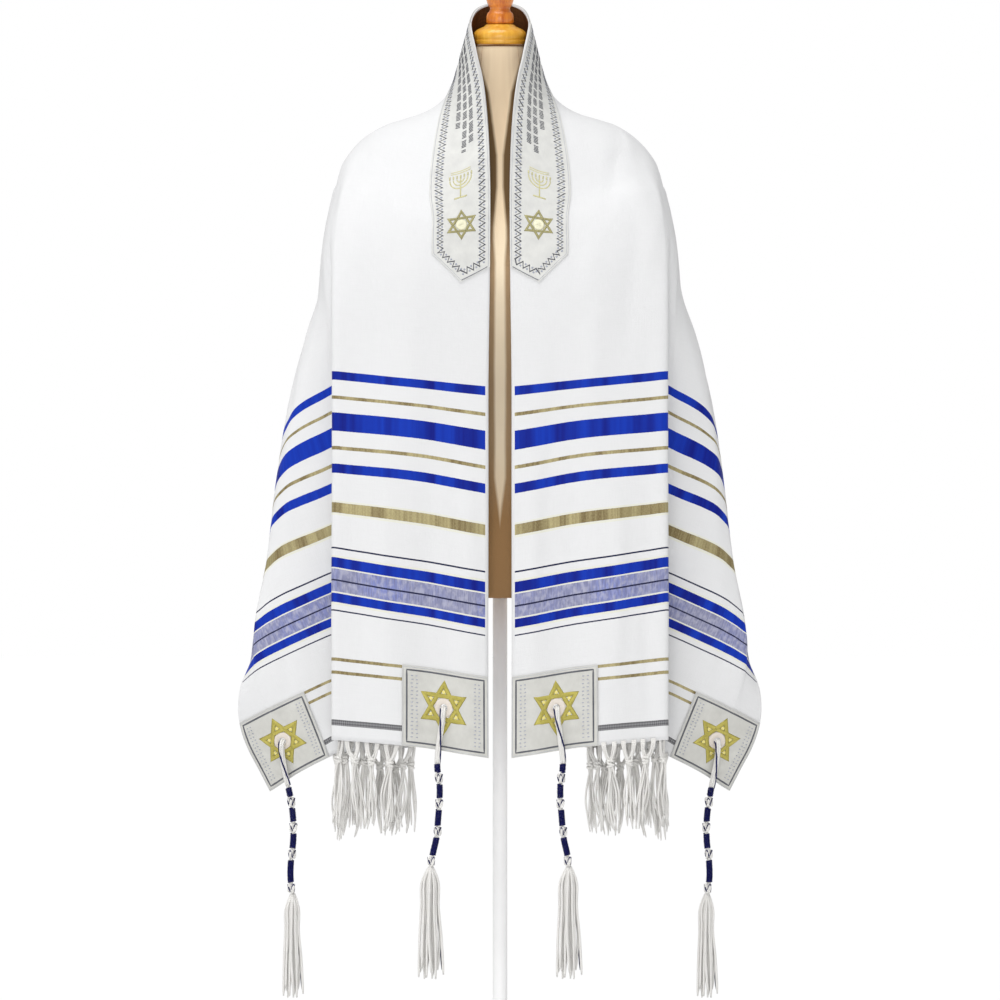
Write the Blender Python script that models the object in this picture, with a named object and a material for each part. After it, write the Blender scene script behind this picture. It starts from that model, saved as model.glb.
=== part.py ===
"""A striped prayer shawl with knotted corner fringes, draped over a limbless dress form on a plain stand.

Metres, +Z up. The front faces -Y. The origin is the centre of the stand's base, on the floor.
The shawl is one sheet. A place on it is given by two distances over the flat cloth:
    from_hem  along its length, from the right-hand hem (0) over the neck (half the length) to the other hem
    across    over its width, from the neck edge (0) to the outer long edge (the full width)
The side at +X is worked out and the other side is its mirror image.
"""

import math
from typing import NamedTuple

import bmesh
import bpy
from mathutils import Vector
from mathutils.bvhtree import BVHTree

# Cloth
SHAWL_LENGTH = 1.80
SHAWL_WIDTH = 0.50
CLOTH_WALL = 0.0016
CENTRE_BACK = SHAWL_LENGTH / 2
PATCH_WIDTH = 0.095
PATCH_HEIGHT = 0.091
PATCH_WALL = 0.0010
BAND_END = 0.554
BAND_TIP = 0.520
BAND_SHOULDER = 0.540
BAND_WALL = 0.0010
SEAM_GAP = 0.0004
REST_GAP = 0.0008
REST_ROUNDS = 4
EASE_ROUNDS = 8
EASE_SHARE = 0.5
REST_REACH = 0.01

# Hem fringe
FRINGE_STRIP = 0.005
FRINGE_BUNCHES = 13
STRANDS_A_BUNCH = 3
FRINGE_LENGTH = 0.088
FRINGE_UNEVEN = 0.007
FRINGE_KNOT = 0.026
STRAND_ROOT = 0.0014
STRAND_HALF = 0.0013
KNOT_SPREAD = 0.0032
STRAND_SPREAD = 0.0016

# Corner cords
CORD_RADIUS = 0.0030
CORD_SIDES = 8
CORD_LIFT = 0.0018
CORE_RADIUS = 0.0022
KNOT_RADIUS = 0.0050
KNOT_HALF = 0.0075
WINDING_RADIUS = 0.0038
WINDING_EDGE = 0.0006
TASSEL_HEAD = 0.012
TASSEL_NECK = 0.6
CORD_GAP = 0.0007
TASSEL_STRANDS = (4, 3)
TASSEL_CELL = 0.0036

# Dress form and stand
FORM_SIDES = 28
CAP_RADIUS = 0.030
CAP_HEIGHT = 0.0225
FINIAL_HEIGHT = 0.052
POLE_RADIUS = 0.008
BASE_RADIUS = 0.180
BASE_THICKNESS = 0.012
BASE_EDGE = 0.003
ROUND_SIDES = 48
STACK_GAP = 0.0003


class Place(NamedTuple):
    """A place on a guide line of the draped sheet: distances over the flat cloth, then where they lie."""

    from_hem: float
    across: float
    x: float
    y: float
    z: float


# The neck edge: up the front, round the neck and to the centre back.
NECK_EDGE = (
    Place(0.000, 0.0, 0.0125, -0.1200, 0.466),
    Place(0.200, 0.0, 0.0127, -0.1215, 0.668),
    Place(0.400, 0.0, 0.0127, -0.1225, 0.875),
    Place(0.554, 0.0, 0.0110, -0.1200, 1.020),
    Place(0.650, 0.0, 0.0110, -0.1030, 1.117),
    Place(0.700, 0.0, 0.0130, -0.0840, 1.163),
    Place(0.750, 0.0, 0.0180, -0.0620, 1.210),
    Place(0.800, 0.0, 0.0275, -0.0360, 1.252),
    Place(0.850, 0.0, 0.0310, 0.0060, 1.284),
    Place(0.875, 0.0, 0.0215, 0.0300, 1.296),
    Place(0.900, 0.0, 0.0000, 0.0415, 1.301),
)

# Where the patch or the neckband ends across the front.
TRIM_LINE = (
    Place(0.000, 0.0950, 0.1072, -0.1240, 0.480),
    Place(0.091, 0.0950, 0.1070, -0.1240, 0.569),
    Place(0.300, 0.0850, 0.0965, -0.1250, 0.777),
    Place(0.554, 0.0640, 0.0750, -0.1210, 1.021),
    Place(0.600, 0.0640, 0.0745, -0.1130, 1.058),
    Place(0.650, 0.0640, 0.0725, -0.0960, 1.094),
    Place(0.700, 0.0640, 0.0660, -0.0720, 1.133),
    Place(0.750, 0.0640, 0.0580, -0.0450, 1.172),
    Place(0.800, 0.0640, 0.0500, -0.0150, 1.200),
    Place(0.850, 0.0640, 0.0430, 0.0220, 1.225),
    Place(0.875, 0.0640, 0.0265, 0.0445, 1.236),
    Place(0.900, 0.0640, 0.0000, 0.0545, 1.240),
)

# The front fold's crest, which runs on over the shoulder and down the back.
FOLD_CREST = (
    Place(0.000, 0.1750, 0.1845, -0.1180, 0.486),
    Place(0.160, 0.1750, 0.1845, -0.1180, 0.646),
    Place(0.300, 0.1750, 0.1840, -0.1170, 0.786),
    Place(0.400, 0.1750, 0.1840, -0.1140, 0.886),
    Place(0.500, 0.1750, 0.1830, -0.1080, 0.984),
    Place(0.550, 0.1750, 0.1810, -0.0960, 1.036),
    Place(0.600, 0.1750, 0.1740, -0.0740, 1.083),
    Place(0.650, 0.1750, 0.1600, -0.0380, 1.127),
    Place(0.700, 0.1750, 0.1460, 0.0040, 1.150),
    Place(0.750, 0.1750, 0.1240, 0.0400, 1.150),
    Place(0.800, 0.1750, 0.0920, 0.0680, 1.136),
    Place(0.850, 0.1750, 0.0480, 0.0840, 1.130),
    Place(0.900, 0.1750, 0.0000, 0.0880, 1.134),
)

# Where the sheet comes out again from behind the front panel.
FOLD_RETURN = (
    Place(0.000, 0.3950, 0.1790, -0.0850, 0.471),
    Place(0.200, 0.3310, 0.1850, -0.0850, 0.662),
    Place(0.300, 0.2940, 0.1850, -0.0840, 0.765),
    Place(0.400, 0.2570, 0.1860, -0.0840, 0.871),
    Place(0.500, 0.2250, 0.1920, -0.0860, 0.970),
    Place(0.550, 0.2150, 0.1940, -0.0740, 1.022),
    Place(0.600, 0.2150, 0.1890, -0.0500, 1.058),
    Place(0.650, 0.2150, 0.1780, -0.0090, 1.104),
    Place(0.700, 0.2150, 0.1650, 0.0340, 1.126),
    Place(0.750, 0.2150, 0.1380, 0.0640, 1.118),
    Place(0.800, 0.2150, 0.0970, 0.0850, 1.098),
    Place(0.850, 0.2150, 0.0490, 0.0960, 1.090),
    Place(0.900, 0.2150, 0.0000, 0.1000, 1.094),
)

# The outermost stretch, as seen from the front.
SIDE_LINE = (
    Place(0.000, 0.4500, 0.2220, -0.0640, 0.450),
    Place(0.091, 0.4500, 0.2540, -0.0710, 0.522),
    Place(0.143, 0.4530, 0.2700, -0.0700, 0.563),
    Place(0.190, 0.4350, 0.2705, -0.0670, 0.605),
    Place(0.257, 0.4020, 0.2575, -0.0650, 0.682),
    Place(0.400, 0.3180, 0.2270, -0.0660, 0.849),
    Place(0.500, 0.2520, 0.2000, -0.0660, 0.966),
    Place(0.550, 0.2470, 0.1960, -0.0500, 1.003),
    Place(0.600, 0.2520, 0.1910, -0.0270, 1.028),
    Place(0.650, 0.2580, 0.1880, 0.0160, 1.073),
    Place(0.700, 0.2740, 0.1790, 0.0620, 1.080),
    Place(0.750, 0.2900, 0.1480, 0.0920, 1.052),
    Place(0.800, 0.2950, 0.1020, 0.1060, 1.022),
    Place(0.850, 0.3000, 0.0505, 0.1160, 1.008),
    Place(0.900, 0.3000, 0.0000, 0.1180, 1.012),
)

# The outer long edge, from the front corner round the side to the centre back.
OUTER_EDGE = (
    Place(0.000, SHAWL_WIDTH, 0.2620, -0.0380, 0.429),
    Place(0.091, SHAWL_WIDTH, 0.2940, -0.0530, 0.504),
    Place(0.143, SHAWL_WIDTH, 0.2915, -0.0560, 0.548),
    Place(0.190, SHAWL_WIDTH, 0.2775, -0.0430, 0.580),
    Place(0.257, SHAWL_WIDTH, 0.2640, -0.0280, 0.615),
    Place(0.400, SHAWL_WIDTH, 0.2460, 0.0080, 0.690),
    Place(0.500, SHAWL_WIDTH, 0.2360, 0.0420, 0.740),
    Place(0.600, SHAWL_WIDTH, 0.2180, 0.0780, 0.790),
    Place(0.650, SHAWL_WIDTH, 0.2070, 0.1030, 0.825),
    Place(0.700, SHAWL_WIDTH, 0.1830, 0.1250, 0.846),
    Place(0.750, SHAWL_WIDTH, 0.1490, 0.1370, 0.840),
    Place(0.800, SHAWL_WIDTH, 0.1010, 0.1410, 0.824),
    Place(0.850, SHAWL_WIDTH, 0.0510, 0.1420, 0.813),
    Place(0.900, SHAWL_WIDTH, 0.0000, 0.1420, 0.811),
)

GUIDE_LINES = (NECK_EDGE, TRIM_LINE, FOLD_CREST, FOLD_RETURN, SIDE_LINE, OUTER_EDGE)
CREST = 2
RETURN = 3
SIDE = 4


class Turn(NamedTuple):
    """A place in the front fold: its share of the hidden width, how far in it lies and how far back."""

    share: float
    inward: float
    back: float


FRONT_FOLD = (
    Turn(0.00, 0.00, 0.00),
    Turn(0.03, 0.00, 0.15),
    Turn(0.08, 0.08, 0.31),
    Turn(0.26, 0.46, 0.36),
    Turn(0.44, 0.90, 0.43),
    Turn(0.50, 1.00, 0.54),
    Turn(0.56, 0.90, 0.65),
    Turn(0.74, 0.46, 0.76),
    Turn(0.92, 0.10, 0.88),
    Turn(1.00, 0.00, 1.00),
)
FOLD_SHUT_BELOW = 0.45
FOLD_OPEN_ABOVE = 0.60


class Fold(NamedTuple):
    """A soft upright fold: its bearing from the front, its width and depth, and where it fades out."""

    bearing: float
    width: float
    depth: float
    top: float
    bottom: float


FOLDS = (
    Fold(14, 8, 0.0030, 1.00, 0.60),
    Fold(31, 7, -0.0045, 1.05, 0.62),
    Fold(44, 6, 0.0040, 1.03, 0.55),
    Fold(83, 7, -0.0090, 1.00, 0.66),
    Fold(98, 7, 0.0100, 1.02, 0.70),
    Fold(112, 7, -0.0120, 1.04, 0.74),
    Fold(127, 7, 0.0090, 1.08, 0.78),
    Fold(141, 7, -0.0110, 1.10, 0.80),
    Fold(156, 8, 0.0080, 1.10, 0.80),
    Fold(170, 7, -0.0070, 1.06, 0.80),
)

# Rows of the sheet, by distance from the hem, and its columns as steps between the guide lines.
ROWS = (
    0.0, 0.030, 0.060, PATCH_HEIGHT, 0.130, 0.170, 0.215, 0.260, 0.305, 0.350, 0.400, 0.445, 0.485,
    BAND_TIP, BAND_SHOULDER, BAND_END, 0.580, 0.605, 0.630, 0.655, 0.680, 0.700, 0.720, 0.740,
    0.760, 0.780, 0.800, 0.820, 0.838, 0.854, 0.868, 0.880, 0.890, CENTRE_BACK,
)
BAND_STEPS = 4
PANEL_STEPS = 4
SWING_STEPS = 4
DROP_STEPS = 6
PATCH_ROWS = 4


class Section(NamedTuple):
    """A level section of the dress form: its height, half its width, and its reach to the front and back."""

    height: float
    half_width: float
    front: float
    back: float


FORM_SECTIONS = (
    Section(0.642, 0.150, 0.096, 0.098),
    Section(0.700, 0.155, 0.100, 0.106),
    Section(0.780, 0.142, 0.092, 0.100),
    Section(0.870, 0.124, 0.088, 0.088),
    Section(0.950, 0.140, 0.103, 0.095),
    Section(1.015, 0.157, 0.113, 0.101),
    Section(1.065, 0.170, 0.106, 0.100),
    Section(1.102, 0.175, 0.091, 0.093),
    Section(1.128, 0.166, 0.076, 0.083),
    Section(1.147, 0.147, 0.063, 0.074),
    Section(1.160, 0.122, 0.054, 0.066),
    Section(1.170, 0.094, 0.047, 0.058),
    Section(1.181, 0.066, 0.041, 0.048),
    Section(1.197, 0.046, 0.036, 0.040),
    Section(1.220, 0.036, 0.032, 0.034),
    Section(1.253, 0.031, 0.030, 0.030),
)
FORM_SQUARENESS = 2.35


class Ring(NamedTuple):
    """A ring of a turned piece: its height above the piece's foot and its radius."""

    height: float
    radius: float


CAP_PROFILE = (
    Ring(0.0, CAP_RADIUS - 0.0010),
    Ring(0.0015, CAP_RADIUS),
    Ring(0.0070, CAP_RADIUS - 0.0004),
    Ring(0.0130, CAP_RADIUS - 0.0045),
    Ring(0.0180, CAP_RADIUS - 0.0110),
    Ring(CAP_HEIGHT, CAP_RADIUS - 0.0145),
)
FINIAL_PROFILE = (
    Ring(0.0, 0.0130),
    Ring(0.0025, 0.0150),
    Ring(0.0090, 0.0148),
    Ring(0.0125, 0.0115),
    Ring(0.0170, 0.0110),
    Ring(0.0230, 0.0140),
    Ring(0.0320, 0.0155),
    Ring(0.0420, 0.0130),
    Ring(0.0490, 0.0075),
    Ring(FINIAL_HEIGHT, 0.0025),
)


class Cord(NamedTuple):
    """A corner cord, from the middle of its patch down to its tassel.

    on_patch holds the places that it lies along, as distances from the hem and across the cloth, and hanging
    the (x, z) places that it hangs through; knots and the windings' top are heights.
    """

    name: str
    on_patch: tuple
    hanging: tuple
    windings_top: float
    knots: tuple
    tassel_end: float


CORDS = (
    Cord(
        "inner",
        ((0.0480, 0.0510), (0.0340, 0.0520), (0.0180, 0.0545), (0.0040, 0.0565)),
        (
            (0.0690, 0.4560), (0.0665, 0.4380), (0.0665, 0.4200), (0.0680, 0.4000),
            (0.0700, 0.3780), (0.0740, 0.3600), (0.0762, 0.3440),
        ),
        0.4600,
        (0.4440, 0.4160, 0.3855, 0.3530),
        0.2230,
    ),
    Cord(
        "outer",
        ((0.0460, 0.4520), (0.0320, 0.4570), (0.0170, 0.4620), (0.0040, 0.4660)),
        (
            (0.2318, 0.4260), (0.2295, 0.4120), (0.2278, 0.3940), (0.2280, 0.3740),
            (0.2305, 0.3520), (0.2310, 0.3340), (0.2280, 0.3120),
        ),
        0.4330,
        (0.4170, 0.3890, 0.3595, 0.3220),
        0.2010,
    ),
)


def new_material(name, colour, roughness, metallic=0.0):
    """A plain material of one colour."""
    material = bpy.data.materials.new(name)
    material.use_nodes = True
    shader = material.node_tree.nodes["Principled BSDF"]
    shader.inputs["Base Color"].default_value = (*colour, 1.0)
    shader.inputs["Roughness"].default_value = roughness
    shader.inputs["Metallic"].default_value = metallic
    return material


def new_object(name, points, faces, material, smooth_angle=None):
    """A mesh object of these points and faces, with loose points left out."""
    mesh = bpy.data.meshes.new(name)
    mesh.from_pydata([tuple(point) for point in points], [], faces)
    mesh.validate()
    mesh.materials.append(material)
    if smooth_angle is not None:
        mesh.shade_smooth()
        mesh.set_sharp_from_angle(angle=math.radians(smooth_angle))
    built = bpy.data.objects.new(name, mesh)
    bpy.context.scene.collection.objects.link(built)
    return built


def smooth_step(low, high, value):
    """0 below low, 1 above high, and a smooth rise between them."""
    share = min(max((value - low) / (high - low), 0.0), 1.0)
    return share * share * (3.0 - 2.0 * share)


def blend(first, second, share):
    """The value at this share of the way from the first to the second."""
    return first + (second - first) * share


def slope(before, here, after):
    """The slope at here of a curve through three (distance, value) pairs."""
    left = (here[1] - before[1]) / (here[0] - before[0])
    right = (after[1] - here[1]) / (after[0] - here[0])
    span = after[0] - before[0]
    return (left * (after[0] - here[0]) + right * (here[0] - before[0])) / span


def curve_between(start, end, start_slope, end_slope, distance):
    """A cubic from start to end, both (distance, value) pairs, with these slopes at its ends."""
    span = end[0] - start[0]
    t = (distance - start[0]) / span
    return (
        start[1] * (2 * t**3 - 3 * t**2 + 1)
        + end[1] * (3 * t**2 - 2 * t**3)
        + start_slope * span * (t**3 - 2 * t**2 + t)
        + end_slope * span * (t**3 - t**2)
    )


def on_curve(knots, distance):
    """The value at a distance along the smooth curve through these (distance, value) pairs."""
    last = len(knots) - 1
    place = next((i for i in range(last) if distance <= knots[i + 1][0]), last - 1)

    def knot_slope(i):
        if i == 0 or i == last:
            first, second = (0, 1) if i == 0 else (last - 1, last)
            return (knots[second][1] - knots[first][1]) / (knots[second][0] - knots[first][0])
        return slope(knots[i - 1], knots[i], knots[i + 1])

    return curve_between(
        knots[place], knots[place + 1], knot_slope(place), knot_slope(place + 1), distance
    )


def mirrored_past_centre(line):
    """A guide line with its places just past the centre back added, so that it crosses it squarely."""
    past = [row._replace(from_hem=SHAWL_LENGTH - row.from_hem, x=-row.x) for row in line[-2:-4:-1]]
    return list(line) + past


def guide_place(line, from_hem):
    """The distance across and the point where a guide line crosses a row."""
    rows = mirrored_past_centre(line)
    across = on_curve([(row.from_hem, row.across) for row in rows], from_hem)
    point = on_curve([(row.from_hem, Vector((row.x, row.y, row.z))) for row in rows], from_hem)
    return across, point


def fold_turn(share):
    """How far in and back the front fold lies at this share of its hidden width."""
    inward = on_curve([(turn.share, turn.inward) for turn in FRONT_FOLD], share)
    back = on_curve([(turn.share, turn.back) for turn in FRONT_FOLD], share)
    return inward, back


class Row:
    """One row of the sheet, straight across the cloth at a distance from the hem."""

    def __init__(self, from_hem):
        self.from_hem = from_hem
        self.knots = [guide_place(line, from_hem) for line in GUIDE_LINES]
        self.shut = 1.0 - smooth_step(FOLD_SHUT_BELOW, FOLD_OPEN_ABOVE, from_hem)
        self.slopes = [self.slope_at(i) for i in range(len(self.knots))]

    def slope_at(self, i):
        """The row's direction at a guide line. A shut fold parts the panel's from the outer stretch's."""
        here = self.knots[i]
        back = self.knots[i - 1] if i > 0 else None
        ahead = self.knots[i + 1] if i + 1 < len(self.knots) else None
        if back is None:
            return (ahead[1] - here[1]) / (ahead[0] - here[0])
        if ahead is None:
            return (here[1] - back[1]) / (here[0] - back[0])
        through = slope(back, here, ahead)
        if i == CREST:
            return blend(through, (here[1] - back[1]) / (here[0] - back[0]), self.shut)
        if i == RETURN:
            return blend(through, (ahead[1] - here[1]) / (ahead[0] - here[0]), self.shut)
        return through

    def at(self, span, share):
        """The distance across and the point at a share of the way between two guide lines."""
        start, end = self.knots[span], self.knots[span + 1]
        across = blend(start[0], end[0], share)
        point = curve_between(start, end, self.slopes[span], self.slopes[span + 1], across)
        if span == CREST:
            point = blend(point, self.folded(share), self.shut)
        return across, point

    def folded(self, share):
        """The point in the shut fold, behind the front panel."""
        crest, out = self.knots[CREST], self.knots[RETURN]
        hidden = out[0] - crest[0]
        step = out[1].y - crest[1].y
        tuck = max((hidden - step) / 2, 0.0)
        inward, back = fold_turn(share)
        x = blend(crest[1].x, out[1].x, back) - tuck * inward
        y = blend(crest[1].y, out[1].y, back)
        z = blend(crest[1].z, out[1].z, share)
        return Vector((x, y, z))


def with_folds(point, span):
    """The point moved in or out by the soft upright folds. The hidden front fold takes none."""
    if span == CREST:
        return point
    bearing = math.degrees(math.atan2(point.x, -point.y))
    outward = Vector((point.x, point.y, 0.0)).normalized()
    moved = point.copy()
    for fold in FOLDS:
        offset = (bearing - fold.bearing) / fold.width
        reach = 1.0 - smooth_step(fold.bottom, fold.top, point.z)
        moved += outward * fold.depth * reach * math.exp(-offset * offset)
    return moved


def column_steps(row):
    """A row's columns, each as the span between two guide lines and the share of the way along it.

    The first column past the fold's return follows the outer patch's side up from the hem.
    """
    steps = [(0, i / BAND_STEPS) for i in range(BAND_STEPS)]
    steps += [(1, i / PANEL_STEPS) for i in range(PANEL_STEPS)]
    steps += [(CREST, turn.share) for turn in FRONT_FOLD[:-1]]
    at_return, at_side = row.knots[RETURN][0], row.knots[SIDE][0]
    patch_side = (SHAWL_WIDTH - PATCH_WIDTH - at_return) / (at_side - at_return)
    leave_patch = smooth_step(PATCH_HEIGHT, PATCH_HEIGHT * 3, row.from_hem)
    first = blend(patch_side, 1 / SWING_STEPS, leave_patch)
    steps += [(RETURN, 0.0)]
    steps += [(RETURN, blend(first, 1.0, i / (SWING_STEPS - 1))) for i in range(SWING_STEPS - 1)]
    steps += [(SIDE, i / DROP_STEPS) for i in range(DROP_STEPS + 1)]
    return steps


TRIM_COLUMN = BAND_STEPS
CREST_COLUMN = TRIM_COLUMN + PANEL_STEPS
RETURN_COLUMN = CREST_COLUMN + len(FRONT_FOLD) - 1
OUTER_PATCH_COLUMN = RETURN_COLUMN + 1
EDGE_COLUMN = RETURN_COLUMN + SWING_STEPS + DROP_STEPS


def half_sheet():
    """The middle surface of the sheet's +X half, as rows of points."""
    grid = []
    for from_hem in ROWS:
        row = Row(from_hem)
        grid.append([with_folds(row.at(span, share)[1], span) for span, share in column_steps(row)])
    for point in grid[-1]:
        point.x = 0.0
    return grid


def whole_sheet(half):
    """The rows of both halves, from one hem to the other."""
    other = [[Vector((-point.x, point.y, point.z)) for point in row] for row in half[-2::-1]]
    return half + other


def sheet_normals(grid):
    """The outward direction at each point of a grid of rows."""
    rows, columns = len(grid), len(grid[0])
    normals = []
    for i in range(rows):
        normals.append([])
        for j in range(columns):
            along = grid[min(i + 1, rows - 1)][j] - grid[max(i - 1, 0)][j]
            across = grid[i][min(j + 1, columns - 1)] - grid[i][max(j - 1, 0)]
            normals[i].append(across.cross(along).normalized())
    return normals


def layer(grid, normals, offset):
    """A grid moved out along its normals."""
    return [
        [point + normal * offset for point, normal in zip(points, ways)]
        for points, ways in zip(grid, normals)
    ]


def outward_moves(form, surface, points, faces, clearance):
    """How far each point of the cloth has to move to clear the form, by the point's number."""
    tests = []
    for face in faces:
        a, b, c = (points[k] for k in face)
        for test in (a, b, c, (a + b) / 2, (b + c) / 2, (c + a) / 2, (a + b + c) / 3):
            nearest, normal, _, _ = surface.find_nearest(test)
            tests.append((face, test, nearest, normal))
    cloth = BVHTree.FromPolygons(points, faces)
    for vert in form.data.vertices:
        nearest, _, face, _ = cloth.find_nearest(vert.co, REST_REACH)
        if nearest is not None:
            tests.append((faces[face], nearest, vert.co, vert.normal))
    moves = {}
    for face, test, nearest, normal in tests:
        short = clearance - (test - nearest).dot(normal)
        if short <= 0:
            continue
        for corner in face:
            if short > moves.get(corner, Vector()).length:
                moves[corner] = normal * short
    return moves


def ease(points, rows, columns, touched):
    """Evens out the touched points of a grid towards their neighbours."""
    eased = {}
    for k in touched:
        i, j = divmod(k, columns)
        if 0 < i < rows - 1 and 0 < j < columns - 1:
            around = points[k - 1] + points[k + 1] + points[k - columns] + points[k + columns]
            eased[k] = blend(points[k], around / 4, EASE_SHARE)
        elif i == rows - 1 and 0 < j < columns - 1:
            eased[k] = blend(points[k], (points[k - 1] + points[k + 1]) / 2, EASE_SHARE)
    for k, place in eased.items():
        points[k].xyz = place


def rest_on(form, grid, clearance):
    """Moves out each part of the cloth that lies too near the form, until it only rests on it.

    The first rounds also even out the moved places and those beside them, so that no step is left.
    """
    surface = BVHTree.FromObject(form, bpy.context.evaluated_depsgraph_get())
    rows, columns = len(grid), len(grid[0])
    faces = grid_faces(rows, columns, rows)
    points = [point for row in grid for point in row]
    touched = set()
    for rest_round in range(EASE_ROUNDS + REST_ROUNDS):
        moves = outward_moves(form, surface, points, faces, clearance)
        for k, move in moves.items():
            points[k] += move
            touched |= {k - columns, k - 1, k, k + 1, k + columns}
        if rest_round < EASE_ROUNDS:
            ease(points, rows, columns, touched)
        for point in grid[-1]:
            point.x = 0.0


def grid_faces(rows, columns, turn_at):
    """The triangles between the points of a grid. From the row turn_at on, its cells are split the other way.

    Pieces that lie on each other split their cells alike, so that they stay parallel.
    """
    faces = []
    for i in range(rows - 1):
        for j in range(columns - 1):
            here, ahead = i * columns + j, (i + 1) * columns + j
            if i < turn_at:
                faces += [(here, ahead, ahead + 1), (here, ahead + 1, here + 1)]
            else:
                faces += [(here, ahead, here + 1), (ahead, ahead + 1, here + 1)]
    return faces


def grid_rim(rows, columns):
    """The points round the border of a grid, in order."""
    rim = list(range(columns))
    rim += [i * columns + columns - 1 for i in range(1, rows)]
    rim += [(rows - 1) * columns + j for j in range(columns - 2, -1, -1)]
    rim += [i * columns for i in range(rows - 2, 0, -1)]
    return rim


def walled(inner, outer, faces, rim):
    """Points and faces of a closed wall between two layers of points that share faces and a rim."""
    shift = len(inner)
    wall = list(faces) + [tuple(shift + k for k in reversed(face)) for face in faces]
    for here, after in zip(rim, rim[1:] + rim[:1]):
        wall.append((here, after, shift + after, shift + here))
    return inner + outer, wall


def walled_grid(inner, outer, turn_at):
    rows, columns = len(inner), len(inner[0])
    inner_points = [point for row in inner for point in row]
    outer_points = [point for row in outer for point in row]
    faces = grid_faces(rows, columns, turn_at)
    return walled(inner_points, outer_points, faces, grid_rim(rows, columns))


def closed_and_outward(built):
    """Turns an object's faces outwards."""
    mesh = bmesh.new()
    mesh.from_mesh(built.data)
    bmesh.ops.recalc_face_normals(mesh, faces=mesh.faces)
    mesh.to_mesh(built.data)
    mesh.free()
    return built


def build_shawl(sheet, normals, material):
    inner = layer(sheet, normals, -CLOTH_WALL / 2)
    outer = layer(sheet, normals, CLOTH_WALL / 2)
    points, faces = walled_grid(inner, outer, len(sheet) // 2)
    return closed_and_outward(new_object("shawl", points, faces, material, smooth_angle=60))


def laid_on(name, sheet, normals, rows, columns, wall, material):
    """A piece that lies on the sheet, made from the sheet's own points moved out."""
    base = [[sheet[i][j] for j in columns] for i in rows]
    ways = [[normals[i][j] for j in columns] for i in rows]
    lift = CLOTH_WALL / 2 + SEAM_GAP
    turn_at = 0 if rows[0] >= len(sheet) // 2 else len(rows)
    points, faces = walled_grid(layer(base, ways, lift), layer(base, ways, lift + wall), turn_at)
    return closed_and_outward(new_object(name, points, faces, material, smooth_angle=60))


def build_patches(sheet, normals, material):
    last = len(sheet) - 1
    sides = {"right": range(0, PATCH_ROWS), "left": range(last - PATCH_ROWS + 1, last + 1)}
    places = {"inner": range(0, TRIM_COLUMN + 1), "outer": range(OUTER_PATCH_COLUMN, EDGE_COLUMN + 1)}
    for side, rows in sides.items():
        for place, columns in places.items():
            name = f"patch_{place}_{side}"
            laid_on(name, sheet, normals, rows, columns, PATCH_WALL, material)


def build_neckband(sheet, normals, material):
    """The band along the neck edge, with a pointed end on each side."""
    end, last = ROWS.index(BAND_END), len(sheet) - 1
    body = range(end, last - end + 1)
    wide, long = TRIM_COLUMN + 1, len(body)
    cells = [(i, j) for i in body for j in range(wide)]
    for shoulder, tip in ((end - 1, end - 2), (last - end + 1, last - end + 2)):
        cells += [(shoulder, j) for j in range(wide - 1)] + [(tip, wide // 2)]
    lift = CLOTH_WALL / 2 + SEAM_GAP
    inner = [sheet[i][j] + normals[i][j] * lift for i, j in cells]
    outer = [sheet[i][j] + normals[i][j] * (lift + BAND_WALL) for i, j in cells]
    faces = grid_faces(long, wide, (long - 1) // 2)
    rim = []
    for body_row, shoulder in ((0, wide * long), (wide * (long - 1), wide * (long + 1))):
        tip = shoulder + wide - 1
        pointed = [(tip, shoulder + j, shoulder + j + 1) for j in range(wide - 2)]
        for j in range(wide - 1):
            pointed.append((shoulder + j, body_row + j, body_row + j + 1))
        for j in range(wide - 2):
            pointed.append((shoulder + j, body_row + j + 1, shoulder + j + 1))
        outline = [body_row, shoulder, tip, tip - 1, body_row + wide - 1]
        if body_row:
            faces += [tuple(reversed(face)) for face in pointed]
            rim += outline[::-1] + [i * wide for i in range(long - 2, 0, -1)]
        else:
            faces += pointed
            rim += outline + [i * wide + wide - 1 for i in range(1, long - 1)]
    points, faces = walled(inner, outer, faces, rim)
    return closed_and_outward(new_object("neckband", points, faces, material, smooth_angle=60))


def along_line(points, count):
    """Points at even distances along a line of straight runs."""
    reaches = [0.0]
    for before, after in zip(points, points[1:]):
        reaches.append(reaches[-1] + (after - before).length)
    found = []
    run = 0
    for i in range(count):
        reach = reaches[-1] * i / (count - 1)
        while run < len(points) - 2 and reach > reaches[run + 1]:
            run += 1
        share = (reach - reaches[run]) / (reaches[run + 1] - reaches[run])
        found.append(points[run].lerp(points[run + 1], share))
    return found


def strand_ring(centre, side, half_width, half_depth):
    """The four corners of a strand's section, which lies level."""
    front = Vector((-side.y, side.x, 0.0))
    corners = ((-1, -1), (1, -1), (1, 1), (-1, 1))
    return [centre + side * (a * half_width) + front * (b * half_depth) for a, b in corners]


def grow_strand(points, faces, cell, rings):
    """Grows a four-sided strand out of a four-sided cell of its backing."""
    before = cell
    for ring in rings:
        first = len(points)
        points += ring
        here = tuple(range(first, first + 4))
        for k in range(4):
            after = (k + 1) % 4
            faces.append((before[k], before[after], here[after], here[k]))
        before = here
    faces.append(before)


def level(way):
    return Vector((way.x, way.y, 0.0)).normalized()


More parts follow.
